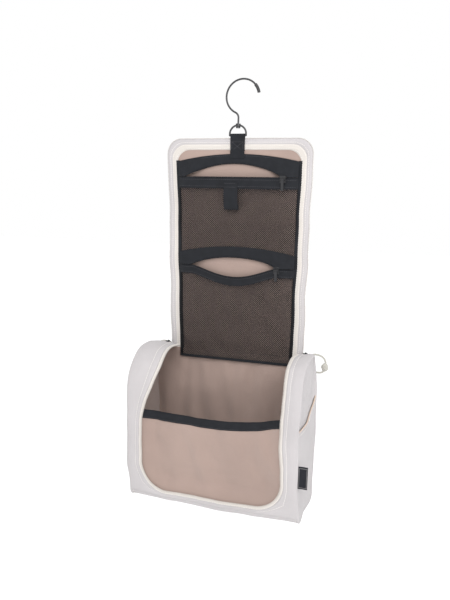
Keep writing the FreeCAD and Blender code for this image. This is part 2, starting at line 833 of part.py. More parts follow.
def check():
    doc.recompute()
    for thing in doc.Objects:
        if {"Invalid", "Error"} & set(thing.State):
            raise RuntimeError(f"{thing.Name} ({thing.Label}): {thing.State}")
    for part in parts:
        if part.Shape.isNull() or not part.Shape.isValid():
            raise RuntimeError(f"{part.Label}: null or invalid shape")


def write():
    os.makedirs("parts", exist_ok=True)
    for part in parts:
        part.Shape.exportStep(f"parts/{part.Label}.step")
        box = part.Shape.BoundBox
        print(f"{part.Label:28s} solids {len(part.Shape.Solids)} "
              f"volume {part.Shape.Volume:9.1f}  x {box.XMin:7.1f} {box.XMax:7.1f}  "
              f"y {box.YMin:7.1f} {box.YMax:7.1f}  z {box.ZMin:7.1f} {box.ZMax:7.1f}")


make_hook()
make_ring()
make_hanger()
make_lid()
make_bag()
check()
write()
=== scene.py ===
import json
import math

import bpy
from mathutils import Matrix, Vector, noise


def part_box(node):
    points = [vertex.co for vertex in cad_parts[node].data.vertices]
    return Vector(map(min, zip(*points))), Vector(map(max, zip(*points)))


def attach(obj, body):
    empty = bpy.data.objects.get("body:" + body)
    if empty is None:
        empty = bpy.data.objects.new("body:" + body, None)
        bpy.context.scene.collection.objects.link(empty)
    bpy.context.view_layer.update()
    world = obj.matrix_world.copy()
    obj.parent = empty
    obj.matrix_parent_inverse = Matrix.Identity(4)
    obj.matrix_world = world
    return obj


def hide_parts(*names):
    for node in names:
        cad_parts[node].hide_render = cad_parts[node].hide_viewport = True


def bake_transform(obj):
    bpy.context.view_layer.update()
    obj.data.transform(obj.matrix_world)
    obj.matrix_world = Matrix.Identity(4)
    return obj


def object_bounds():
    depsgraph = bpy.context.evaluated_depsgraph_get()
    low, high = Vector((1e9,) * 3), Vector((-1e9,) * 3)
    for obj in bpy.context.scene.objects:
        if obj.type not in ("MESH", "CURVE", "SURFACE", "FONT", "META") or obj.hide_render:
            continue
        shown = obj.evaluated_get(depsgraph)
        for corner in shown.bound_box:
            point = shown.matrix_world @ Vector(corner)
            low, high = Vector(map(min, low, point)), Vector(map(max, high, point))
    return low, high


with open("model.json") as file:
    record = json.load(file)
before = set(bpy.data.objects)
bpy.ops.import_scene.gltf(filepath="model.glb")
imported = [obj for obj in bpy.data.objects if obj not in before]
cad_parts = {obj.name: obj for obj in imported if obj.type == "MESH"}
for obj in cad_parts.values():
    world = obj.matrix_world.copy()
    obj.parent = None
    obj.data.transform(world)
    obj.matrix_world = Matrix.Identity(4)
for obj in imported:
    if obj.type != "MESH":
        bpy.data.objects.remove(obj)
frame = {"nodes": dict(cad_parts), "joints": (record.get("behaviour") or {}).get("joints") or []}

# A hanging toiletry bag with its lid open.  Shapes are worked out in millimetres in
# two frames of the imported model, and turned into metres when a piece is made:
#   the lid's frame (x, down, back), whose origin is the middle of the lid's top edge;
#   the bag's frame (x, y, z), whose origin is the foot of its back panel.

MM = 0.001
CAD_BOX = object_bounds()

# ---- sizes, in millimetres

LID_LONG = 297.0
LID_HALF_TOP, LID_HALF_END = 103.5, 97.0  # half its width at the top and at the hinge
LID_CORNER = 20.0
LID_BACK_Y = 4.5  # the lid's outer face, behind its lining
BORDER = 14.0
POCKET_HALF = 86.0
POCKET_FRONT = -7.0
BAR_ABOVE = 4.5  # the ring's bar, above the lid's top edge
NET_PITCH = 2.8
STRAND = 0.95
NET_FOOT = 308.0

BAG_DEEP = 100.0
HINGE_Z = 197.0
ARCH_Y, ARCH_TOP = 40.0, 208.0  # the arch's summit, before the back panel and above its foot
BACK_ARC, FRONT_ARC = 78.2, 60.0  # radii of its two arcs
FOOT_R = 8.0
MOUTH_HALF = 101.5
MOUTH_LOW = 9.5
MOUTH_R = 42.0
MOUTH_RUN = MOUTH_HALF - MOUTH_R  # half the straight run of the mouth's foot
MOUTH_SIDE = MOUTH_LOW + MOUTH_R  # where its lower corners run into its sides
SEAM_X = 117.5
GUSSET_X = 117.6
PANEL_EDGE_Y, PANEL_Y = -97.0, -87.2  # the front panel, at its seams and inside them
PANEL_FOOT, PANEL_TOP = 6.0, 124.0
SIDES = ((-1, "left"), (1, "right"))


# ---- the two frames

JOINTS = {joint["name"]: joint for joint in frame["joints"]}


def pivot(name):
    return Vector(JOINTS[name]["pos_m"])


HINGE = pivot("lid_hinge")
DOWN = (HINGE - pivot("fold_top")).normalized()
BACK = Vector((0, -DOWN.z, DOWN.y))
FOLDS = [LID_LONG + (pivot(name) - HINGE).dot(DOWN) / MM
         for name in ("fold_top", "fold_middle", "fold_lower", "lid_hinge")]
CUTS = [(a + b) / 2 for a, b in zip(FOLDS, FOLDS[1:])]
PANELS = ("lid_top", "lid_middle", "lid_lower", "lid_base", "bag")


def clamp(value, low=0.0, high=1.0):
    return max(low, min(high, value))


def smooth(low, high, value):
    share = clamp((value - low) / (high - low))
    return share * share * (3 - 2 * share)


def slack(x, y, z):
    return noise.noise(Vector((x, y, z)))


def lid(point):
    """A point (x, down, back) of the lid in the row frame."""
    x, down, back = point
    return HINGE + (DOWN * (down - LID_LONG) + BACK * (back - LID_BACK_Y)) * MM + Vector((x * MM, 0, 0))


def bag(point):
    """A point (x, y, z) of the bag in the row frame."""
    x, y, z = point
    return Vector((x * MM, HINGE.y + y * MM, HINGE.z + (z - HINGE_Z) * MM))


def lid_ripple(point):
    """The lid's cloth is soft: it stands in slow waves, least at its two ends."""
    x, down, back = point
    calm = smooth(0, 30, down) * smooth(0, 25, LID_LONG - down)
    wave = slack(x / 75, down / 55, 1.7) * 1.8
    sway = slack(3.1, down / 38, 0.4 + 0.6 * math.copysign(1, x)) * 1.6
    return Vector((x + sway * calm * smooth(70, 100, abs(x)), down, back + wave * calm))


def wander(spot):
    """Noise along each axis.  Scalar noise is the same in every run; vector noise isn't."""
    return Vector((noise.noise(spot), noise.noise(spot + Vector((31.4, 0, 0))),
                   noise.noise(spot + Vector((0, 17.9, 0)))))


def bag_ripple(point):
    """The bag's cloth is soft: its corners give, and it stands in slow and finer waves."""
    x, y, z = point
    side = math.copysign(1, x)
    away = smooth(0, 14, math.hypot(y, z - HINGE_Z))
    back_corner = smooth(-30, -4, y) * smooth(150, 200, z) * smooth(99, 117, abs(x))
    low = smooth(55, 0, z) * smooth(50, 118, abs(x))
    front = smooth(-45, -95, y)
    give = Vector((-5 * side * back_corner + (7 if x < 0 else 5 * front) * low, 0,
                   3.5 * back_corner + (3 * low if x < 0 else 0)))
    spot = Vector(point)
    slow = wander(spot / 62 + Vector((4.0, 1.0, 2.0))) * 2.6
    fine = wander(spot / 21 + Vector((0.5, 7.0, 3.0))) * 0.7
    return spot + give + (slow + fine) * away


# ---- camera and cords

CAMERA_AT = Vector((306.3, -917.6, -190.9)) * MM
CAMERA_YAW, CAMERA_PITCH, CAMERA_ROLL = 19.03, 6.27, 1.99  # degrees
CAMERA_LENS = 42.14


def put(name, data):
    made = bpy.data.objects.new(name, data)
    bpy.context.scene.collection.objects.link(made)
    return made


def make_camera():
    yaw, pitch, roll = (math.radians(a) for a in (CAMERA_YAW, CAMERA_PITCH, CAMERA_ROLL))
    right = Vector((math.cos(yaw), math.sin(yaw), 0))
    level = Vector((-math.sin(yaw), math.cos(yaw), 0))
    ahead = level * math.cos(pitch) - Vector((0, 0, math.sin(pitch)))
    up = right.cross(ahead)
    side = right * math.cos(roll) + up * math.sin(roll)
    top = up * math.cos(roll) - right * math.sin(roll)
    data = bpy.data.cameras.new("camera")
    data.lens = CAMERA_LENS
    data.clip_start, data.clip_end = 0.05, 30
    camera = put("camera", data)
    camera.matrix_world = Matrix.Translation(CAMERA_AT) @ Matrix((side, top, -ahead)).transposed().to_4x4()
    bpy.context.scene.camera = camera


SLIDER_ANGLE = 64.0  # degrees round the back arc, from level
SLIDER_X = 103.4


def slider_give(side):
    """How far the soft rim has moved a main slider from its place."""
    angle = math.radians(SLIDER_ANGLE)
    spot = Vector((SLIDER_X * side, BACK_ARC * math.cos(angle) - ARCH_Y,
                   ARCH_TOP - BACK_ARC + BACK_ARC * math.sin(angle)))
    return bag_ripple(spot) - spot


CORD_D = 2.6
POINT_RADIUS = 0.002  # a curve's box grows by this radius of its points, in metres
CORD_ROUTE = [(103.2, 3.0, 199.4), (110.0, 6.5, 201.6), (119.0, 8.8, 201.6),
              (127.5, 9.4, 197.0), (130.0, 9.0, 187.0), (127.0, 8.6, 177.5),
              (117.0, 7.6, 176.0), (107.0, 5.8, 181.0), (103.0, 3.6, 192.0)]
KNOT_AT = (128.0, 9.0, 184.6)
KNOT_HALF = (5.2, 4.6, 6.0)


def make_cord(word, side):
    curve = bpy.data.curves.new(f"pull_cord_loop_{word}", "CURVE")
    curve.dimensions = "3D"
    curve.bevel_depth = CORD_D / 2 * MM / POINT_RADIUS
    curve.bevel_resolution = 4
    curve.resolution_u = 10
    curve.use_fill_caps = True
    spline = curve.splines.new("NURBS")
    spline.points.add(len(CORD_ROUTE) - 1)
    give = slider_give(side)
    route = [bag(Vector((x * side, y, z)) + give) for x, y, z in CORD_ROUTE]
    for place, spot in zip(spline.points, route):
        place.co = (*spot, 1)
        place.radius = POINT_RADIUS
    spline.order_u = 3
    spline.use_endpoint_u = True
    cord = put(curve.name, curve)
    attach(cord, "bag")
    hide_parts(f"pull_cord_{word}")
    return cord, route[0]


make_camera()
CORDS = {word: make_cord(word, side) for side, word in SIDES}


# ---- materials

LOOKS = {}


class Paint:
    """A procedural material, built from nodes on a Principled shader."""

    def __init__(self, name, rough=0.8, **sockets):
        LOOKS[name] = self.material = bpy.data.materials.new(name)
        self.material.use_nodes = True
        self.tree = self.material.node_tree
        self.shader = self.tree.nodes["Principled BSDF"]
        self.shader.inputs["Roughness"].default_value = rough
        for socket, value in sockets.items():
            self.shader.inputs[socket.replace("_", " ")].default_value = value
        self.place = self.node("ShaderNodeTexCoord").outputs["Object"]

    def node(self, kind, **values):
        made = self.tree.nodes.new(kind)
        for name, value in values.items():
            if hasattr(made, name):
                setattr(made, name, value)
            else:
                made.inputs[name.replace("_", " ")].default_value = value
        return made

    def link(self, source, target):
        self.tree.links.new(source, target)

    def mix(self, first, weight, second, other):
        """A weighted sum of two values."""
        return self.sum(self.sum(first, weight, "MULTIPLY"), self.sum(second, other, "MULTIPLY"))

    def sum(self, first, second, operation="ADD"):
        made = self.node("ShaderNodeMath", operation=operation)
        for place, value in enumerate((first, second)):
            if isinstance(value, (int, float)):
                made.inputs[place].default_value = value
            else:
                self.link(value, made.inputs[place])
        return made.outputs[0]

    def cloud(self, size, detail=3.0, stretch=(1, 1, 1)):
        """Soft noise with patches of about size millimetres."""
        mapping = self.node("ShaderNodeMapping")
        mapping.inputs["Scale"].default_value = stretch
        self.link(self.place, mapping.inputs["Vector"])
        made = self.node("ShaderNodeTexNoise", Scale=1 / (size * MM), Detail=detail)
        self.link(mapping.outputs[0], made.inputs["Vector"])
        return made.outputs["Fac"]

    def bands(self, pitch, direction):
        """Ridges pitch millimetres apart, across one axis."""
        made = self.node("ShaderNodeTexWave", wave_type="BANDS", bands_direction=direction,
                         Scale=math.pi / 10 / (pitch * MM))
        self.link(self.place, made.inputs["Vector"])
        return made.outputs["Fac"]

    def weave(self, pitch):
        """Threads along every axis, so that cloth facing any way shows two sets."""
        across = self.sum(self.bands(pitch, "X"), self.bands(pitch * 0.92, "Z"))
        return self.sum(across, self.bands(pitch * 1.04, "Y"))

    def colour(self, dark, light, factor, low=0.3, high=0.7):
        ramp = self.node("ShaderNodeValToRGB")
        ramp.color_ramp.elements[0].position = low
        ramp.color_ramp.elements[0].color = (*dark, 1)
        ramp.color_ramp.elements[1].position = high
        ramp.color_ramp.elements[1].color = (*light, 1)
        self.link(factor, ramp.inputs["Fac"])
        return ramp.outputs["Color"]

    def bump(self, height, deep, under=None):
        made = self.node("ShaderNodeBump", Distance=deep * MM, Strength=1.0)
        self.link(height, made.inputs["Height"])
        if under is not None:
            self.link(under, made.inputs["Normal"])
        return made.outputs["Normal"]

    def finish(self, colour, normal, roughness=None):
        self.link(colour, self.shader.inputs["Base Color"])
        self.link(normal, self.shader.inputs["Normal"])
        if roughness is not None:
            self.link(roughness, self.shader.inputs["Roughness"])


def shade(colour, factor):
    return tuple(channel * factor for channel in colour)


def fabric(name, colour, pitch, deep, crease=0.5, crease_size=26, rough=0.85, sheen=0.25, mottle=0.07):
    """Woven cloth: threads, soft creases, thread-by-thread and broad changes of tone."""
    paint = Paint(name, rough, Sheen_Weight=sheen, Sheen_Roughness=0.5, Specular_IOR_Level=0.25)
    weave = paint.weave(pitch)
    broad = paint.cloud(70, 4)
    grain = paint.cloud(pitch * 2.5, 2)
    tone = paint.mix(broad, 0.75, grain, 0.25)
    base = paint.colour(shade(colour, 1 - mottle), shade(colour, 1 + mottle * 0.5), tone)
    creased = paint.bump(paint.cloud(crease_size, 3, (1, 1, 0.6)), crease)
    normal = paint.bump(weave, deep, creased)
    rougher = paint.sum(paint.sum(grain, 0.2, "MULTIPLY"), rough - 0.1)
    paint.finish(base, normal, rougher)


def ribbed(name, colour, pitch, direction, deep):
    """Webbing, tape or grosgrain: ribs one way, a finer thread the other way."""
    paint = Paint(name, 0.7, Sheen_Weight=0.04, Sheen_Roughness=0.4, Specular_IOR_Level=0.15)
    ribs = paint.bands(pitch, direction)
    fine = paint.bands(pitch * 0.45, "X" if direction == "Z" else "Z")
    height = paint.sum(ribs, paint.sum(fine, 0.4, "MULTIPLY"))
    tone = paint.mix(ribs, 0.45, paint.cloud(9, 3), 0.55)
    base = paint.colour(shade(colour, 0.72), shade(colour, 1.35), tone, 0.25, 0.75)
    paint.finish(base, paint.bump(height, deep, paint.bump(paint.cloud(18), 0.25)))


def lacquer(name, colour, rough, metallic, coat=0.0):
    """Lacquered metal: a faint orange peel, and dull rubbed patches."""
    paint = Paint(name, rough, Metallic=metallic, Coat_Weight=coat, Coat_Roughness=0.25)
    rub = paint.cloud(6, 5)
    base = paint.colour(shade(colour, 0.8), shade(colour, 1.5), rub, 0.35, 0.8)
    roughness = paint.sum(paint.sum(rub, 0.25, "MULTIPLY"), rough - 0.1)
    paint.finish(base, paint.bump(paint.cloud(0.8, 2), 0.02), roughness)


def braided(name, colour):
    paint = Paint(name, 0.8, Sheen_Weight=0.3, Specular_IOR_Level=0.25)
    mapping = paint.node("ShaderNodeMapping")
    mapping.inputs["Rotation"].default_value = (0.7, 0.5, 0.8)
    paint.link(paint.place, mapping.inputs["Vector"])
    paint.place = mapping.outputs[0]
    strands = paint.sum(paint.bands(0.9, "X"), paint.bands(0.9, "Y"), "MULTIPLY")
    base = paint.colour(shade(colour, 0.78), colour, strands, 0.05, 0.6)
    paint.finish(base, paint.bump(strands, 0.25))


WHITE = (0.475, 0.452, 0.458)
CREAM = (0.585, 0.548, 0.512)
ROSE = (0.325, 0.240, 0.207)
BLACK = (0.013, 0.014, 0.017)

fabric("canvas_white", WHITE, 0.62, 0.10, crease=1.9, crease_size=32, sheen=0.15)
fabric("lining_rose", ROSE, 0.35, 0.05, crease=1.6, rough=0.62, sheen=0.35, mottle=0.10)
fabric("zip_tape_cream", CREAM, 0.8, 0.14, crease=0.4, mottle=0.05)
ribbed("zip_tape_black", BLACK, 0.9, "Z", 0.16)
ribbed("webbing_black", BLACK, 1.5, "Z", 0.30)
ribbed("mesh_black", (0.014, 0.013, 0.014), 0.5, "X", 0.05)
ribbed("binding_black", BLACK, 1.1, "X", 0.18)
fabric("piping_sand", (0.60, 0.47, 0.38), 0.5, 0.08, crease=0.2)
ribbed("label_black", (0.016, 0.017, 0.022), 0.45, "Z", 0.06)
braided("cord_cream", (0.50, 0.485, 0.44))
lacquer("black_metal", (0.022, 0.022, 0.024), 0.38, 0.35, 0.4)
lacquer("zip_metal_black", (0.010, 0.010, 0.012), 0.5, 0.1)
lacquer("black_plastic", (0.020, 0.020, 0.021), 0.55, 0.0)
fabric("thread_white", (0.74, 0.71, 0.68), 0.3, 0.05, crease=0.1)
fabric("thread_grey", (0.30, 0.29, 0.29), 0.3, 0.05, crease=0.1)
ribbed("thread_black", (0.05, 0.05, 0.056), 0.4, "X", 0.04)


def dress(piece, look):
    piece.data.materials.clear()
    piece.data.materials.append(LOOKS[look])


# ---- making pieces

# Rows of studs: their pitch, and the length, width and height of each.
LID_TEETH = (1.8, 1.0, 2.0, 0.9)
MOUTH_TEETH = (1.8, 1.0, 1.8, 0.9)
POCKET_TEETH = (1.5, 0.8, 1.7, 0.7)
LID_STITCH = (3.2, 2.3, 0.5, 0.22)
POCKET_STITCH = (3.0, 2.1, 0.45, 0.2)
STRAP_STITCH = (2.0, 1.5, 0.45, 0.2)
KEEPER_STITCH = (1.8, 1.3, 0.45, 0.2)
BAND_STITCH = (3.4, 2.4, 0.55, 0.3)
SEAM_STITCH = (3.4, 2.4, 0.5, 0.25)
HEM_STITCH = (3.2, 2.2, 0.5, 0.25)
BINDING_STITCH = (3.2, 2.2, 0.45, 0.2)
LABEL_STITCH = (1.3, 1.0, 0.35, 0.6)


class Cloth:
    """Points and faces in one of the two frames, gathered before a piece is made."""

    def __init__(self):
        self.points, self.faces = [], []

    def grid(self, rows, closed=False):
        """Rows of equal length; closed joins each row's end to its start."""
        first, wide = len(self.points), len(rows[0])
        for row in rows:
            self.points += [Vector(p) for p in row]
        for r in range(len(rows) - 1):
            for c in range(wide if closed else wide - 1):
                a, b = first + r * wide + c, first + r * wide + (c + 1) % wide
                self.faces.append((a, b, b + wide, a + wide))
        return self

    def fan(self, centre, ring):
        """Closes a ring of the last points round its centre."""
        self.points.append(Vector(centre))
        last = len(self.points) - 1
        start = last - ring
        for c in range(ring):
            self.faces.append((start + c, start + (c + 1) % ring, last))
        return self

    def stud(self, spot, along, out, long, wide, tall):
        """A small raised block with a narrower top: one stitch, or one zip tooth."""
        along, out = along.normalized(), out.normalized()
        across = out.cross(along)
        first = len(self.points)
        for lift, l, w in ((-0.3, 1.0, 1.0), (0.55, 1.0, 1.0), (1.0, 0.62, 0.5)):
            for a, b in ((-1, -1), (1, -1), (1, 1), (-1, 1)):
                self.points.append(spot + along * (a * l * long / 2) + across * (b * w * wide / 2)
                                   + out * (lift * tall))
        for ring in (first, first + 4):
            for c in range(4):
                n = (c + 1) % 4
                self.faces.append((ring + c, ring + n, ring + 4 + n, ring + 4 + c))
        self.faces.append((first + 8, first + 9, first + 10, first + 11))
        self.faces.append((first + 3, first + 2, first + 1, first))
        return self

    def row_of_studs(self, line, out, size):
        """Studs at even steps along a line; out may change along it."""
        pitch, *block = size
        for spot, along, face in steps_along(line, out, pitch):
            self.stud(spot, along, face, *block)
        return self


def steps_along(line, out, pitch):
    """(spot, direction, outward) every pitch millimetres along a line of points."""
    line = [Vector(p) for p in line]
    outs = out if isinstance(out, list) else [out] * len(line)
    found, left = [], pitch / 2
    for a, b, face in zip(line, line[1:], outs):
        run = (b - a).length
        while left <= run and run > 0:
            found.append((a.lerp(b, left / run), b - a, Vector(face)))
            left += pitch
        left -= run
    return found


def make_piece(name, points, faces, look, flat=False):
    data = bpy.data.meshes.new(name)
    data.from_pydata([tuple(p) for p in points], [], faces)
    data.validate()
    for face in data.polygons:
        face.use_smooth = not flat
    piece = put(name, data)
    dress(piece, look)
    return piece


def thicken(piece, thick, offset=0.0):
    """Gives cloth its thickness; offset -1 grows it behind the faces."""
    solid = piece.modifiers.new("thickness", "SOLIDIFY")
    solid.thickness = thick * MM
    solid.offset = offset
    solid.use_even_offset = False
    crisp = piece.modifiers.new("crisp_edges", "EDGE_SPLIT")
    crisp.split_angle = math.radians(50)


def riding_piece(body, name, points, faces, look, thick=0.0, nodes=(), slot=None, offset=0.0, flat=False):
    """A piece that moves with one body, and stands for the named CAD nodes."""
    piece = make_piece(name, points, faces, look, flat)
    if thick:
        thicken(piece, thick, offset)
    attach(piece, body)
    if nodes:
        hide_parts(*nodes)
    return piece


def bag_piece(name, cloth, *values, **options):
    points = [bag(bag_ripple(p)) for p in cloth.points]
    return riding_piece("bag", name, points, cloth.faces, *values, **options)


def bag_seam(name, line, out, size):
    bag_piece(name, Cloth().row_of_studs(line, out, size), "thread_white", slot="canvas_white", flat=True)


def lid_top_piece(name, cloth, *values, **options):
    points = [lid(p) for p in cloth.points]
    return riding_piece("lid_top", name, points, cloth.faces, *values, **options)


def lid_pieces(name, cloth, look, thick=0.0, nodes=(), flat=False, finish=None):
    """Makes up to four pieces, parted in the middle of the lid's panels.
    Neighbours share the points where they meet.
    nodes lists, for each piece from the top, the CAD nodes it stands for."""
    middles = [sum(cloth.points[i].y for i in face) / len(face) for face in cloth.faces]
    stands_for = list(nodes)
    for index, fold in enumerate(FOLDS):
        low, high = ([-math.inf] + CUTS + [math.inf])[index:index + 2]
        faces = [f for f, m in zip(cloth.faces, middles) if low <= m < high]
        if not faces:
            continue
        used = sorted({i for f in faces for i in f})
        place = {old: new for new, old in enumerate(used)}
        points = [lid(lid_ripple(cloth.points[i])) for i in used]
        faces = [tuple(place[i] for i in f) for f in faces]
        piece = make_piece(f"{name}_{PANELS[index][4:]}", points, faces, look, flat)
        if finish:
            finish(piece)
        if thick:
            thicken(piece, thick)
        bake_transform(piece)
        if stands_for:
            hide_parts(*stands_for.pop(0))


def stops(low, high, step):
    """Even stops from low to high that also fall on every cut between them."""
    marks = [low] + [c for c in CUTS if low + 1 < c < high - 1] + [high]
    found = [low]
    for a, b in zip(marks, marks[1:]):
        count = max(1, round((b - a) / step))
        found += [a + (b - a) * (i + 1) / count for i in range(count)]
    return found


def spread(low, high, count):
    return [low + (high - low) * i / (count - 1) for i in range(count)]


def turns(start, end, count):
    """(cosine, sine) at even steps round a circle, between two angles in degrees."""
    return [(math.cos(math.radians(a)), math.sin(math.radians(a))) for a in spread(start, end, count)]


# ---- lid

FRONT = Vector((0, 0, -1))  # towards the front, in the lid's frame


def lid_half(down):
    return LID_HALF_TOP + (LID_HALF_END - LID_HALF_TOP) * down / LID_LONG


def corner_radius(inset):
    return LID_CORNER - 0.15 * inset


def lid_edge(inset):
    """The lid's outline from its lower left round to its lower right, moved in."""
    radius = corner_radius(inset)
    start = inset + radius
    centre_x = lid_half(start) - start
    straight_run = [start + (LID_CORNER * 2 - start) * k for k in (0, 0.5)] + stops(LID_CORNER * 2, LID_LONG, 4)
    line = [(inset - lid_half(down), down) for down in reversed(straight_run)]
    line += [(radius * c - centre_x, start - radius * s) for c, s in turns(180, 90, 9)[1:]]
    line += [(x, inset) for x in spread(-centre_x, centre_x, 41)[1:]]
    line += [(radius * c + centre_x, start - radius * s) for c, s in turns(90, 0, 9)[1:]]
    return line + [(lid_half(down) - inset, down) for down in straight_run[1:]]


def around_lid(profile):
    """A cloth swept round the lid's edge; a profile is a list of (inset, back)."""
    rows = [[(x, down, back) for x, down in lid_edge(inset)] for inset, back in profile]
    return Cloth().grid(rows)


def inner_half(down, inset):
    """Half the width inside the border, round at the two upper corners."""
    radius = corner_radius(inset)
    half = lid_half(down) - inset
    rise = inset + radius - down
    if rise > 0:
        half -= radius - math.sqrt(max(radius * radius - rise * rise, 0))
    return half


def lid_field(inset, back, columns=33):
    """A sheet that fills the lid's outline, moved in by inset."""
    radius = corner_radius(inset)
    top = [inset + radius * (1 - math.cos(math.radians(a))) for a in (0, 20, 40, 60, 75)]
    downs = top + stops(inset + radius, LID_LONG, 5)
    rows = [[(x, down, back(x, down)) for x in (u * inner_half(down, inset) for u in spread(-1, 1, columns))]
            for down in downs]
    return Cloth().grid(rows)


def lining_back(x, down):
    """The lining is slack: it pulls in shallow vertical and slanting folds."""
    pull = slack(x / 16 + down / 60, down / 80, 5.0) * 0.5
    return 1.9 + pull * smooth(0, 20, inner_half(down, BORDER) - abs(x))


def make_lid_cloth():
    names = ("top", "middle", "lower", "base")
    canvas = lid_field(5, lambda x, down: LID_BACK_Y - 0.2)
    lid_pieces("lid_canvas", canvas, "canvas_white", 0.8, [[f"lid_canvas_{n}"] for n in names])
    lining = lid_field(BORDER - 1, lining_back, 61)
    lid_pieces("lid_lining", lining, "lining_rose", 0.4, [[f"lid_lining_{n}"] for n in names])

    edge = around_lid([(9, 4.6), (4, 5.0), (1.2, 4.9), (0.1, 4.3), (-0.4, 3.0), (0.0, 1.7), (1.1, 0.9),
                       (3.2, 0.55), (5.6, 0.7), (7.0, 1.0), (7.3, 1.7)])
    borders = [["lid_border_top"]] + [[f"lid_border_{n}_left", f"lid_border_{n}_right"] for n in names[1:]]
    lid_pieces("lid_edge", edge, "canvas_white", 0.3, borders)
    tape = around_lid([(6.6, 1.6), (7.4, 0.8), (9.0, 0.45), (11.5, 0.5), (13.0, 0.7), (14.2, 1.1), (14.6, 1.8)])
    lid_pieces("lid_tape", tape, "zip_tape_cream", 0.3)

    line = [(x, down, 2.6) for x, down in lid_edge(-0.6)]
    outs = [Vector((a[0] - b[0], a[1] - b[1], 0)) for a, b in zip(lid_edge(-1), lid_edge(1))]
    lid_pieces("lid_coil", Cloth().row_of_studs(line, outs, LID_TEETH), "zip_tape_cream", flat=True)
    seams = Cloth()
    for inset, back, out in ((4.6, 0.45, FRONT), (8.2, 0.4, FRONT), (13.0, 0.45, FRONT), (7, 5.35, -FRONT)):
        seams.row_of_studs([(x, down, back) for x, down in lid_edge(inset)], out, LID_STITCH)
    lid_pieces("lid_stitching", seams, "thread_white", flat=True)


def upper_top(x):
    return 20 + 8.5 * (x / 80) ** 2


def upper_slot(x):
    """Lower edge of the upper zip's upper tape: it meets the other tape at both ends."""
    return min(33 + 17.5 * ((x + 4) / 70) ** 2, 50.5)


def lower_top(x):
    return 146 + 9 * (x / 80) ** 2


def lower_slot(x):
    return min(161 + 11.5 * (abs(x + 2) / 62) ** 2.2, lower_mouth(x) - 0.6)


def lower_mouth(x):
    """Upper edge of the lower pocket: it droops in the middle."""
    droop = max(0.0, 1 - ((x + 2) / 62) ** 2)
    return 173.5 + 14.5 * droop ** 1.5


def pocket_swell(x, half):
    """How far a pocket stands off across its width, from 0 at its sides to 1."""
    return math.sqrt(max(0.0, 1 - (abs(x) / half) ** 6))


def upper_back(x, down):
    """Where the upper pocket's front lies."""
    swell = pocket_swell(x, POCKET_HALF)
    fall = 1 - 0.88 * smooth(96, 146, down)
    folds = slack((x + down * 0.7) / 15, (down - x * 0.4) / 60, 2.0) * 1.1
    calm = smooth(66, 80, down)
    return 0.9 + (POCKET_FRONT - 0.3) * swell * fall + folds * swell * calm


def lower_back(x, down):
    swell = pocket_swell(x, POCKET_HALF - 2)
    fall = 1 - 0.6 * smooth(270, NET_FOOT, down)
    folds = slack((x - down * 0.6) / 17, (down + x * 0.5) / 55, 8.0) * 1.8
    calm = smooth(192, 210, down) * (1 - smooth(296, NET_FOOT, down))
    return 0.9 + (POCKET_FRONT - 0.1) * swell * fall + folds * swell * calm - 2.2 * smooth(285, NET_FOOT, down)


def ribbon(high, low, back, half):
    """A tape between two edges, each a function of x, from -half to half."""
    return Cloth().grid([[(x, high(x) + (low(x) - high(x)) * k, back(x, k)) for x in spread(-half, half, 57)]
                         for k in spread(0, 1, 5)])


def net(top, bottom, back, half):
    """A net of diamonds between two distances down the lid."""
    cloth, place, step = Cloth(), {}, NET_PITCH / 2
    columns = int(half * 2 / step)
    rows = int((bottom - top(0)) / step)
    above = 12  # more rows, where the top edge rises from its middle

    def spot(i, j):
        return -half + i * NET_PITCH / 2, bottom - (rows - j) * NET_PITCH / 2

    def corner(i, j):
        if (i, j) not in place:
            place[i, j] = len(cloth.points)
            cloth.points.append(Vector((*spot(i, j), back(*spot(i, j)))))
        return place[i, j]

    for j in range(-above, rows):
        for i in range(1, columns):
            x, down = spot(i, j)
            if (i + j) % 2 and down - step >= top(x) and down + step <= bottom + 0.01:
                cloth.faces.append((corner(i - 1, j), corner(i, j - 1), corner(i + 1, j), corner(i, j + 1)))
    return cloth


def strands(piece):
    wire = piece.modifiers.new("strands", "WIREFRAME")
    wire.thickness = STRAND * MM
    wire.use_even_offset = False
    wire.use_boundary = True


def across_lid(down, back, half, count):
    """A line across the lid; down and back are functions of x."""
    return [(x, down(x), back(x)) for x in spread(-half, half, count)]


def make_pocket(word, half, tapes, mesh, teeth, seams):
    """A mesh pocket with its zip.  tapes: upper edge, lower edge and back of each;
    teeth: edge, shift, back and half length of each row; seams: down, back and half."""
    for place, node, tape in zip(("above", "below"), ("upper", "lower"), tapes):
        lid_pieces(f"{word}_zip_tape_{place}", ribbon(*tape, half), "zip_tape_black", 0.6,
                   [[f"{word}_zip_{node}_tape"]])
    top, bottom, back, nodes = mesh
    lid_pieces(f"{word}_net", net(top, bottom, back, half), "mesh_black", nodes=nodes, finish=strands)
    for place, (edge, shift, back, long) in zip(("", "_below"), teeth):
        line = across_lid(lambda x: edge(x) + shift, back, long, 81)
        lid_pieces(f"{word}_zip_coil{place}", Cloth().row_of_studs(line, FRONT, POCKET_TEETH), "binding_black",
                   flat=True)
    stitches = Cloth()
    for seam in seams:
        stitches.row_of_studs(across_lid(*seam, 60), FRONT, POCKET_STITCH)
    lid_pieces(f"{word}_pocket_stitching", stitches, "thread_black", flat=True)


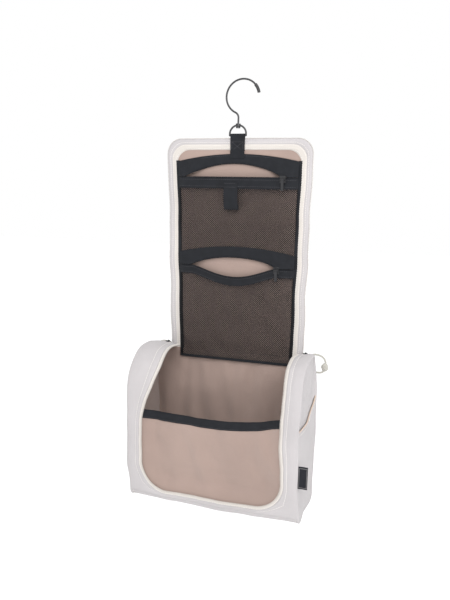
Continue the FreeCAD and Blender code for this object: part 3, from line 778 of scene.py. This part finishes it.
def make_upper_pocket():
    def join(x):
        """0 where the zip is open, 1 where its two tapes meet."""
        return smooth(44, 68, abs(x + 2))

    def top_back(x, k):
        bow = math.sin(math.pi * min(k * 1.2, 1))
        return 1.0 - 0.5 * bow + k * (join(x) * (upper_back(x, 50) - 1.6) - 1.2)

    def low_edge(x):
        return 50.8

    def seam_back(x):
        return upper_back(x, 58) - 0.45

    make_pocket("upper", POCKET_HALF - 0.5,
                tapes=[(upper_top, upper_slot, top_back),
                       (low_edge, lambda x: 66.5, lambda x, k: upper_back(x, 55) - 0.1)],
                mesh=(lambda x: 64.5, 157, upper_back, [["upper_mesh", "upper_mesh_hem"]]),
                teeth=[(upper_slot, -0.4, lambda x: top_back(x, 1) - 0.3, 66),
                       (low_edge, 0.4, lambda x: upper_back(x, 50) - 0.35, 62)],
                seams=[(lambda x: 54.5, seam_back, 84), (lambda x: 63.5, seam_back, 84),
                       (lambda x: upper_top(x) + 2.2, lambda x: 0.35, 84)])


def make_lower_pocket():
    def join(x):
        return smooth(44, 64, abs(x + 2))

    def top_back(x, k):
        bow = math.sin(math.pi * min(k * 1.2, 1))
        return -0.7 - 0.6 * bow + k * (join(x) * (lower_back(x, 175) - 0.8) - 1.4)

    def mouth_back(x, k):
        return lower_back(x, 180) + 1.2 * (1 - k) * max(0.0, 1 - (x / 60) ** 2)

    def seam_back(x):
        return mouth_back(x, 0.5) - 0.45

    make_pocket("lower", POCKET_HALF - 2.5,
                tapes=[(lower_top, lower_slot, top_back),
                       (lower_mouth, lambda x: lower_mouth(x) + 12.5, mouth_back)],
                mesh=(lambda x: lower_mouth(x) + 10.5, NET_FOOT, lower_back,
                      [["lower_mesh_upper"], ["lower_mesh_base"]]),
                teeth=[(lower_slot, -0.4, lambda x: top_back(x, 1) - 0.3, 60),
                       (lower_mouth, 0.4, lambda x: mouth_back(x, 0) - 0.35, 56)],
                seams=[(lambda x: lower_mouth(x) + 3.0, seam_back, 82),
                       (lambda x: lower_mouth(x) + 10.5, seam_back, 82),
                       (lambda x: lower_top(x) + 2.2, lambda x: -0.5, 82)])


def make_pocket_edges():
    """The bound sides and foot of the two mesh pockets."""
    for side, word in SIDES:
        rows = [[((lid_half(down) - BORDER - 1.2 + across) * side, down, back)
                 for down in stops(29, NET_FOOT - 1, 5)]
                for across, back in ((-2.6, 1.4), (-2.0, 0.3), (0.0, 0.0), (2.0, 0.3), (2.6, 1.4))]
        lid_pieces(f"pocket_side_binding_{word}", Cloth().grid(rows), "binding_black", 0.4)
    foot = ribbon(lambda x: NET_FOOT - 3, lambda x: NET_FOOT + 0.5,
                  lambda x, k: lower_back(x, NET_FOOT) - 0.5, POCKET_HALF - 3)
    lid_pieces("pocket_foot_binding", foot, "binding_black", 0.6)


def strip_cloth(path, low_x, high_x):
    """Webbing run along a path of (down, back), between two values of x."""
    return Cloth().grid([[(x, down, back) for down, back in path] for x in spread(low_x, high_x, 9)])


def rounded(path, count):
    """A path through the given corners, with its corners eased."""
    curve, last = [], len(path) - 1
    for i in range(last):
        before, a, b, after = path[max(i - 1, 0)], path[i], path[i + 1], path[min(i + 2, last)]
        for k in range(count):
            u = k / count
            curve.append(tuple(0.5 * (2 * p1 + (p2 - p0) * u + (2 * p0 - 5 * p1 + 4 * p2 - p3) * u * u
                                      + (3 * p1 - p0 - 3 * p2 + p3) * u ** 3)
                               for p0, p1, p2, p3 in zip(before, a, b, after)))
    return curve + [path[-1]]


def make_hanger():
    """The webbing goes up from the lid, over the ring's bar and down behind itself."""
    loop = 2.0  # its radius round the bar
    path = [(26, -1.5), (20, -1.6), (10, -1.3), (4, -1.2), (0, -1.4)]
    path += [(-BAR_ABOVE - loop * s, loop * c) for c, s in turns(185, -5, 13)]
    path += [(0, 0.6), (4, -0.1), (10, -0.1), (15.6, -0.1)]
    strap = strip_cloth(rounded(path, 2), -10, 10)
    piece = make_piece("hanger_strap", [lid(p) for p in strap.points], strap.faces, "webbing_black")
    thicken(piece, 1.0)
    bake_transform(piece)
    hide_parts("hanger_webbing", "hanger_tail")

    seams = Cloth()  # a box with a cross in it
    box = [(-8, 4), (8, 4), (8, 16), (-8, 16), (-8, 4), (8, 16)]
    for (ax, ad), (bx, bd) in list(zip(box, box[1:])) + [((8, 4), (-8, 16))]:
        seams.row_of_studs([(ax, ad, -1.75), (bx, bd, -1.75)], FRONT, STRAP_STITCH)
    lid_top_piece("hanger_stitching", seams, "thread_black", slot="webbing_black", flat=True)


def make_keeper():
    """The strap for the hook's tip: sewn down at the top, it bows out below."""
    low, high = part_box("hook_keeper")
    left, right = low.x / MM, high.x / MM
    path = rounded([(57.5, -7.5), (62, -7.7), (68, -8.0), (73, -9.0), (79, -10.3), (86, -10.9), (91, -10.6),
                    (94, -9.7), (94.6, -8.4), (92.4, -7.6), (88, -7.5)], 3)
    strap = strip_cloth(path, left, right)
    for point in strap.points:
        point.x += 0.07 * (point.y - 59)  # it hangs a little askew
    lid_top_piece("keeper_strap", strap, "webbing_black", 1.0, ["hook_keeper"])
    seams = Cloth()
    for down in (59.5, 64.5):
        seams.row_of_studs([(left + 1.5, down, -8.25), (right - 1.5, down, -8.25)], FRONT, KEEPER_STITCH)
    lid_top_piece("keeper_stitching", seams, "thread_black", slot="webbing_black", flat=True)


# ---- bag

BAG_FRONT = Vector((0, -1, 0))  # towards the front, in the bag's frame


def turn_through(centre_y, centre_z, radius, start, end, count):
    """Points (y, z, outward y, outward z) round an arc."""
    return [(centre_y + radius * c, centre_z + radius * s, c, s) for c, s in turns(start, end, count)]


def straight(start, end, out, count):
    return [(start[0] + (end[0] - start[0]) * k, start[1] + (end[1] - start[1]) * k, *out)
            for k in spread(0, 1, count)]


def arch(low):
    """The arch from the hinge over to the front, then down to a height."""
    first = math.degrees(math.acos(ARCH_Y / BACK_ARC))
    line = turn_through(-ARCH_Y, ARCH_TOP - BACK_ARC, BACK_ARC, first, 90, 11)
    line += turn_through(-ARCH_Y, ARCH_TOP - FRONT_ARC, FRONT_ARC, 90, 180, 23)[1:]
    shoulder = ARCH_TOP - FRONT_ARC
    return line + straight((-BAG_DEEP, shoulder), (-BAG_DEEP, low), (-1, 0), round((shoulder - low) / 5) + 1)[1:]


def side_ring():
    """The whole side outline, from the hinge round and back up to it."""
    line = arch(FOOT_R)
    line += turn_through(FOOT_R - BAG_DEEP, FOOT_R, FOOT_R, 180, 270, 6)[1:]
    line += straight((FOOT_R - BAG_DEEP, 0), (-FOOT_R, 0), (0, -1), 18)[1:]
    line += turn_through(-FOOT_R, FOOT_R, FOOT_R, 270, 360, 6)[1:]
    line += straight((0, FOOT_R), (0, HINGE_Z), (1, 0), 38)[1:-1]
    return line


def mouth(inset, lift, half=None):
    """The mouth's edge, from its back left round to its back right, moved into
    the opening by inset and outwards from the surface by lift."""
    across = MOUTH_HALF - inset if half is None else half
    radius, face = MOUTH_R - inset, -BAG_DEEP - lift
    down = [(y + ny * lift, z + nz * lift) for y, z, ny, nz in arch(MOUTH_SIDE)]
    line = [(-across, y, z) for y, z in down]
    line += [(radius * c - MOUTH_RUN, face, MOUTH_SIDE + radius * s) for c, s in turns(180, 270, 13)[1:]]
    line += [(x, face, MOUTH_LOW + inset) for x in spread(-MOUTH_RUN, MOUTH_RUN, 25)[1:]]
    line += [(radius * c + MOUTH_RUN, face, MOUTH_SIDE + radius * s) for c, s in turns(270, 360, 13)[1:]]
    line += [(across, y, z) for y, z in reversed(down[:-1])]
    return [(x + mouth_give(x, y, z), y, z) for x, y, z in line]


def mouth_give(x, y, z):
    """The mouth's edge isn't held: it spreads in front, and its left arch turns in."""
    if x < 0:
        give = -2 * smooth(200, 150, z) + 20 * smooth(108, 192, z) * smooth(4, -30, y)
    else:
        give = 2 * smooth(110, 45, z)
    return give * smooth(15, 98, abs(x)) * (1 - smooth(108, 117, abs(x)))


def mouth_out():
    """The way out of the surface at each point of the mouth's edge."""
    sides = [Vector((0, ny, nz)) for _, _, ny, nz in arch(MOUTH_SIDE)]
    middle = len(mouth(0, 0)) - 2 * len(sides)
    return sides + [BAG_FRONT] * middle + sides[::-1]


def seam_line():
    """Where the front band ends at the side seams and the foot, point by point."""
    line = []
    for x, y, z in mouth(0, 0):
        if z > MOUTH_SIDE - 0.01:
            line.append((math.copysign(SEAM_X, x), y, z))
        elif abs(x) <= MOUTH_RUN + 0.01:
            line.append((x, y, FOOT_R))
        else:
            centre_x = math.copysign(MOUTH_RUN, x)
            aim_x, aim_z = x - centre_x, z - MOUTH_SIDE
            to_side = (SEAM_X - MOUTH_RUN) / max(abs(aim_x), 1e-6)
            to_foot = (FOOT_R - MOUTH_SIDE) / min(aim_z, -1e-6)
            reach = min(to_side, to_foot)
            line.append((centre_x + aim_x * reach, y, MOUTH_SIDE + aim_z * reach))
    for corner_x in (-SEAM_X, SEAM_X):
        nearest = min(range(len(line)), key=lambda i: math.hypot(line[i][0] - corner_x, line[i][2] - FOOT_R))
        line[nearest] = (corner_x, line[nearest][1], FOOT_R)
    return line


def make_band():
    """The white band round the mouth: arch, front columns and the strip below."""
    edge, seam, out = mouth(0, 0), seam_line(), mouth_out()
    profile = ((0.03, -0.6), (0.14, -0.5), (0.22, -1.0), (0.32, -0.5), (0.5, 0.1), (0.7, 0.4), (0.88, 0.1),
               (1, 0), (1.03, -0.3))

    def between(share, lift):
        """A line at a share of the way from the mouth's edge to the seam."""
        return [Vector(a).lerp(Vector(b), share) + n * lift for a, b, n in zip(edge, seam, out)]

    rows = [mouth(0.6, -2.6), mouth(0.9, -1.8), mouth(0.5, -0.9)]
    band = Cloth().grid(rows + [between(share, lift) for share, lift in profile])
    bag_piece("mouth_band", band, "canvas_white", 0.9, ["rim_left", "rim_right", "front_band"], offset=-1)

    profile = ((-0.8, -2.6), (0.4, -2.4), (1.0, -1.4), (2.0, -0.9), (3.4, -0.9), (4.5, -1.3), (4.9, -2.1),
               (4.3, -2.7))
    bag_piece("mouth_zip_tape", Cloth().grid([mouth(inset, lift) for inset, lift in profile]), "zip_tape_cream",
              0.3, ["mouth_tape_left", "mouth_tape_right", "mouth_tape_front"])
    coil = Cloth().row_of_studs(mouth(5.0, -1.6), out, MOUTH_TEETH)
    bag_piece("mouth_zip_coil", coil, "zip_tape_cream", flat=True)
    seams = Cloth().row_of_studs(between(0.22, 0.05), out, BAND_STITCH)
    seams.row_of_studs(mouth(2.2, -0.8), out, HEM_STITCH)
    bag_piece("mouth_stitching", seams, "thread_white", slot="canvas_white", flat=True)
    inside = Cloth().grid([mouth(0, -3.0), mouth(0, -3.2, MOUTH_HALF + 7), mouth(0, -3.0, SEAM_X - 1)])
    keep, count = len(arch(MOUTH_SIDE)), len(edge)  # only the two sides have a lining
    inside.faces = [f for f in inside.faces if all(i % count < keep or i % count >= count - keep for i in f)]
    bag_piece("band_lining", inside, "lining_rose", 0.3)


SIDE_CENTRE = (-50.0, 100.0)  # y and z of the middle of a side
SIDE_SHARES = (0.9, 0.78, 0.64, 0.5, 0.36, 0.22, 0.1)  # of the way out from it


def side_x(share):
    """The gusset swells a little at the middle."""
    return GUSSET_X + (1 - share * share)


def side_rows(ring, inset, side, depths):
    """Rings that shrink to the middle of a side; depths holds (share, x)."""
    centre_y, centre_z = SIDE_CENTRE
    return [[(x * side, centre_y + (y - ny * inset - centre_y) * share,
              centre_z + (z - nz * inset - centre_z) * share) for y, z, ny, nz in ring] for share, x in depths]


def make_sides():
    """Each side: a gusset, and the rolled seam that joins it to the bag's band."""
    ring = side_ring()
    roll = ((SEAM_X - 0.9, 0.25), (SEAM_X, 0.5), (118.9, 0.55), (120.0, 0.0), (120.4, -1.0), (120.0, -2.2),
            (118.9, -3.2), (118.3, -4.6))
    for side, word in SIDES:
        rows = [[(x * side, y + ny * n, z + nz * n) for y, z, ny, nz in ring] for x, n in roll]
        rows += side_rows(ring, 4.6, side, [(share, side_x(share)) for share in SIDE_SHARES])
        shell = Cloth().grid(rows, closed=True).fan((side_x(0) * side, *SIDE_CENTRE), len(ring))
        bag_piece(f"side_shell_{word}", shell, "canvas_white", 0.8, [f"gusset_{word}"], offset=-side)

        rows = side_rows(ring, 3.2, side, [(share, 116.2 - 2.5 * (1 - share)) for share in (1, *SIDE_SHARES)])
        lining = Cloth().grid(rows, closed=True).fan((113.7 * side, *SIDE_CENTRE), len(ring))
        bag_piece(f"side_lining_{word}", lining, "lining_rose", 0.3, [f"gusset_lining_{word}"])

        ringed = ring + ring[:1]
        line = [((SEAM_X - 2.4) * side, y + ny * 0.1, z + nz * 0.1) for y, z, ny, nz in ringed]
        outs = [Vector((0, ny, nz)) for _, _, ny, nz in ringed]
        bag_seam(f"side_stitching_{word}", line, outs, SEAM_STITCH)


def make_back_and_foot():
    """One cloth from the front's foot, under the bag and up its back."""
    ring = side_ring()
    start = len(arch(FOOT_R)) - 1
    line = ring[start:] + [(0, HINGE_Z, 1, 0)]
    outer = Cloth().grid([[(x, y, z) for x in spread(-SEAM_X - 0.6, SEAM_X + 0.6, 47)] for y, z, _, _ in line])
    bag_piece("back_and_foot", outer, "canvas_white", 0.8, ["back_canvas", "bottom_canvas"], offset=1)

    rows, depth = [], 3.0  # the lining lies this far inside
    for y, z, ny, nz in line:
        row = []
        for x in spread(-SEAM_X - 0.4, SEAM_X + 0.4, 61):
            fold = 4.2 * slack(x / 17, (y + z) / 80, 3.0) * smooth(0, 30, HINGE_Z - z + 4)
            calm = smooth(0, 12, SEAM_X - abs(x))
            row.append((x, y - ny * (depth + (1 + fold) * calm), z - nz * (depth + 0.5 * calm)))
        rows.append(row)
    inner = Cloth().grid(rows)
    bag_piece("bag_lining", inner, "lining_rose", 0.3, ["back_lining", "bottom_lining"])
    bag_seam("back_stitching", [(x, 0.25, HINGE_Z - 5) for x in (-SEAM_X, SEAM_X)], -BAG_FRONT, SEAM_STITCH)


def mouth_gap(x, z):
    """Distance of a point of the front from the mouth's edge, inside it."""
    over = abs(x) - MOUTH_RUN
    if z >= MOUTH_SIDE:
        return MOUTH_HALF - abs(x)
    if over > 0:
        return MOUTH_R - math.hypot(over, MOUTH_SIDE - z)
    return z - MOUTH_LOW


def panel_y(x, z):
    """The front panel is sewn in at the mouth's edge and sinks back inside it."""
    gap = mouth_gap(x, z)
    folds = (slack((x + z * 0.5) / 26, (z - x * 0.3) / 60, 9.0) * 3.4
             + slack(x / 11, z / 30, 4.0) * 0.8) * smooth(0, 30, gap)
    return PANEL_EDGE_Y + (PANEL_Y - PANEL_EDGE_Y) * smooth(-2, 26, gap) + folds - 1.5 * smooth(20, 60, gap)


def panel_top(x):
    """The panel's upper edge sags."""
    return PANEL_TOP + 0.038 * x - 10.5 * (1 - (x / 100) ** 2)


def make_front_panel():
    half = MOUTH_HALF + 1
    columns = spread(-half, half, 65)
    rows = []
    for k in spread(0, 1, 31):
        spots = [(x, PANEL_FOOT + (panel_top(x) - PANEL_FOOT) * k) for x in columns]
        rows.append([(x + mouth_give(x, -BAG_DEEP, z), panel_y(x, z), z) for x, z in spots])
    panel = bag_piece("front_panel_cloth", Cloth().grid(rows), "lining_rose", 0.5, ["front_panel"])
    profile = ((-0.9, -6), (-1.3, -3), (-1.3, 2.5), (-0.7, 4.8), (0.3, 5.6), (1.2, 4.8), (1.4, 2.5), (1.0, -6))
    rows = [[(x + mouth_give(x, -BAG_DEEP, panel_top(x)), panel_y(x, panel_top(x)) + shift, panel_top(x) + rise)
             for x in columns] for shift, rise in profile]
    hem = bag_piece("front_binding", Cloth().grid(rows), "binding_black", 0.3, ["front_panel_binding"])
    line = [(x, panel_y(x, panel_top(x)) - 1.7, panel_top(x) - 4.3) for x in spread(-half + 3, half - 3, 65)]
    seams = Cloth().row_of_studs(line, BAG_FRONT, BINDING_STITCH)
    bag_piece("front_binding_stitching", seams, "thread_black", slot="binding_black", flat=True)


def pocket_mouth(y):
    """Height of a side pocket's upper edge: a hollow curve, lower at the front."""
    share = clamp(-y / BAG_DEEP)
    return 147 - 29 * share - 8.3 * 4 * share * (1 - share)


def foot_z(y):
    """Height of the bag's rounded foot at a depth."""
    reach = clamp(max(-y - (BAG_DEEP - FOOT_R), y + FOOT_R), 0, FOOT_R)
    return FOOT_R - math.sqrt(max(FOOT_R ** 2 - reach ** 2, 0))


def make_side_pockets():
    low_y, high_y = -96.6, -3.4  # they are sewn in just inside the rolled seam
    for side, word in SIDES:
        rows = []
        for k in spread(0, 1, 25):
            row = []
            for y in spread(high_y, low_y, 29):
                foot = foot_z(y) + 3.2
                z = foot + (pocket_mouth(y) - foot) * k
                swell = math.sin(math.pi * (y - high_y) / (low_y - high_y)) ** 0.6
                x = 119.2 + (0.5 + 1.3 * smooth(0, 0.8, k) - 0.8 * smooth(0.8, 1, k)) * swell
                row.append((x * side, y, z))
            rows.append(row)
        bag_piece(f"side_pocket_cloth_{word}", Cloth().grid(rows), "canvas_white", 0.9, [f"side_pocket_{word}"])
        edge, radius = rows[-1], 0.9
        ring = [[(x + c * radius * side, y, z + 0.6 + s * radius) for x, y, z in edge]
                for c, s in turns(0, 330, 12)]
        nodes = ["side_pocket_pipings"] if side > 0 else []  # one node holds both
        bag_piece(f"pocket_piping_{word}", Cloth().grid(ring + ring[:1]), "piping_sand", nodes=nodes)
        line = [(x + 0.55 * side, y, z - 4.5) for x, y, z in edge]
        bag_seam(f"pocket_stitching_{word}", line, Vector((side, 0, 0)), HEM_STITCH)


def make_label():
    """A blank woven tab, folded double in the front seam."""
    low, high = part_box("seam_label")
    wide, y = high.x - low.x, (low.y + high.y) / 2
    rows = []
    for lift in (-0.45, 0.45):
        for k in spread(0, 1, 7):
            u = k if lift < 0 else 1 - k
            x = low.x - 0.002 + (wide + 0.001) * u
            bulge = lift * MM * (1 - 0.5 * u) + 0.0012 * math.sin(2.6 * u)
            rows.append([Vector((x, y + bulge, low.z + (high.z - low.z) * v)) for v in spread(0, 1, 15)])
    tab = Cloth().grid(rows)
    riding_piece("bag", "woven_tab", tab.points, tab.faces, "label_black", 0.35, ["seam_label"])
    seams, face = Cloth(), low.y / MM + 0.5
    frame_x = (low.x / MM + 2.2, high.x / MM - 2.0)
    frame_z = (low.z / MM + 2.0, high.z / MM - 2.0)
    lines = [[(x, face, z) for z in frame_z] for x in frame_x]
    for line in lines + [[(x, face, z) for x in frame_x] for z in frame_z]:
        seams.row_of_studs(line, BAG_FRONT, LABEL_STITCH)
    riding_piece("bag", "woven_tab_stitching", [p * MM for p in seams.points], seams.faces, "thread_grey",
                 slot="label_black", flat=True)


# ---- zip sliders, cord knots and the hardware

def rounded_blocks(name, blocks, turn, look, bevel):
    """Several small blocks (low corner, high corner), placed by one matrix."""
    cloth = Cloth()
    for (x0, y0, z0), (x1, y1, z1) in blocks:
        first = len(cloth.points)
        around = ((x0, y0), (x1, y0), (x1, y1), (x0, y1))
        cloth.points += [Vector((x, y, z)) for z in (z0, z1) for x, y in around]
        for face in ((3, 2, 1, 0), (4, 5, 6, 7), (0, 1, 5, 4), (1, 2, 6, 5), (2, 3, 7, 6), (3, 0, 4, 7)):
            cloth.faces.append(tuple(first + i for i in face))
    piece = make_piece(name, [bag(turn @ p) for p in cloth.points], cloth.faces, look)
    ease = piece.modifiers.new("eased", "BEVEL")
    ease.width = bevel * MM
    ease.segments = 3
    return piece


def make_main_slider(word, side):
    """A slider parked on the rim: two plates, a bridge and the bail for its cord."""
    angle = math.radians(SLIDER_ANGLE - 90)
    turn = (Matrix.Translation(Vector((SLIDER_X * side, -ARCH_Y, ARCH_TOP - BACK_ARC)) + slider_give(side))
            @ Matrix.Rotation(angle, 4, "X"))
    level = BACK_ARC + 0.1
    blocks = [((-3.9, -4.4, level), (3.9, 4.4, level + 1.1)),
              ((-3.7, -4.2, level + 2.4), (3.7, 4.2, level + 3.4)),
              ((-1.5, -4.2, level + 0.8), (1.5, -1.0, level + 2.8)),
              ((-1.2, -2.6, level + 3.2), (1.2, -1.4, level + 4.6)),
              ((-1.2, 2.6, level + 3.2), (1.2, 3.8, level + 4.6)),
              ((-1.2, -2.6, level + 4.3), (1.2, 3.8, level + 5.1))]
    piece = rounded_blocks(f"main_zip_slider_{word}", blocks, turn, "zip_metal_black", 0.35)
    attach(piece, "bag")
    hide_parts(f"main_slider_{word}")
    end = [[(x, 3.5 + 8.5 * u, level + 0.4 + 2.4 * math.sin(3.0 * u)) for x in spread(-4.2, 4.2, 7)]
           for u in spread(0, 1, 9)]
    flap = [[((-1 - 9 * u) * side, y, level + 1.2 + 1.6 * math.sin(math.pi * u) - 3 * u)
             for y in spread(-3.4, 3.4, 5)] for u in spread(0, 1, 9)]
    for name, rows in (("end", end), ("flap", flap)):
        cloth = Cloth().grid(rows)
        riding_piece("bag", f"zip_tape_{name}_{word}", [bag(turn @ p) for p in cloth.points], cloth.faces,
                     "zip_tape_cream", 0.9)


def make_knot(word, side):
    """The overhand knot in a cord pull: a ball of strands that wind round it."""
    centre = bag(Vector((KNOT_AT[0] * side, *KNOT_AT[1:])) + slider_give(side))
    half = Vector(KNOT_HALF) * MM
    rows = []
    for v in spread(2, 178, 25):
        row = []
        polar = math.radians(v)
        for u in spread(0, 360, 37)[:-1]:
            turn = math.radians(u)
            ridge = abs(math.sin(1.5 * turn + 2.2 * polar * side)) ** 0.7
            size = 0.80 + 0.20 * ridge
            row.append(centre + Vector((half.x * math.sin(polar) * math.cos(turn),
                                        half.y * math.sin(polar) * math.sin(turn),
                                        half.z * math.cos(polar))) * size)
        rows.append(row)
    cloth = Cloth().grid(rows, closed=True)
    knot = make_piece(f"cord_knot_ball_{word}", cloth.points, cloth.faces, "cord_cream")
    soft = knot.modifiers.new("smooth", "SUBSURF")
    soft.levels = soft.render_levels = 1
    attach(knot, "bag")
    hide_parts(f"cord_knot_{word}")
    return knot


def finish_cords():
    for side, word in SIDES:
        make_main_slider(word, side)
        knot = make_knot(word, side)
        cord, start = CORDS[word]
        dress(cord, "cord_cream")


def dress_hardware():
    looks = {"hook_wire": "black_metal", "shank_rivet": "black_metal", "d_ring": "black_metal",
             "hook_tip_cap": "black_plastic"}
    for zip_name in ("upper_zip", "lower_zip"):
        for part in ("slider", "puller"):
            looks[f"{zip_name}_{part}"] = "zip_metal_black"
    for node, look in looks.items():
        dress(frame["nodes"][node], look)


# ---- stage

def area_light(name, spot, aim, size, watts):
    data = bpy.data.lights.new(name, "AREA")
    data.size = size
    data.energy = watts
    spot, aim = Vector(spot), Vector(aim)
    turn = (aim - spot).to_track_quat("-Z", "Y").to_matrix().to_4x4()
    put(name, data).matrix_world = Matrix.Translation(spot) @ turn


def make_stage():
    paint = Paint("floor_white", 0.9, Emission_Color=(1, 1, 1, 1), Emission_Strength=0.22)
    base = paint.colour((0.88, 0.88, 0.88), (0.90, 0.90, 0.90), paint.cloud(300))
    paint.finish(base, paint.bump(paint.cloud(40), 0.05))
    reach, level = 14.0, CAD_BOX[0].z - 0.16
    data = bpy.data.meshes.new("floor")
    corners = ((-reach, -reach), (reach, -reach), (reach, reach), (-reach, reach))
    data.from_pydata([(x, y, level) for x, y in corners], [], [(0, 1, 2, 3)])
    floor = put("floor", data)
    dress(floor, "floor_white")

    world = bpy.data.worlds.new("studio")
    world.use_nodes = True
    light = world.node_tree.nodes["Background"].inputs
    light["Color"].default_value = (1, 1, 1, 1)
    light["Strength"].default_value = 1.0
    bpy.context.scene.world = world
    bpy.context.scene.view_settings.view_transform = "Standard"
    area_light("key", (0.35, -0.95, 0.35), (0, 0, -0.2), 0.8, 10.5)
    area_light("fill", (1.4, -0.5, -0.1), (0, 0, -0.4), 1.0, 3)


make_lid_cloth()
make_upper_pocket()
make_lower_pocket()
make_pocket_edges()
make_hanger()
make_keeper()
make_band()
make_sides()
make_back_and_foot()
make_front_panel()
make_side_pockets()
make_label()
finish_cords()
dress_hardware()
make_stage()
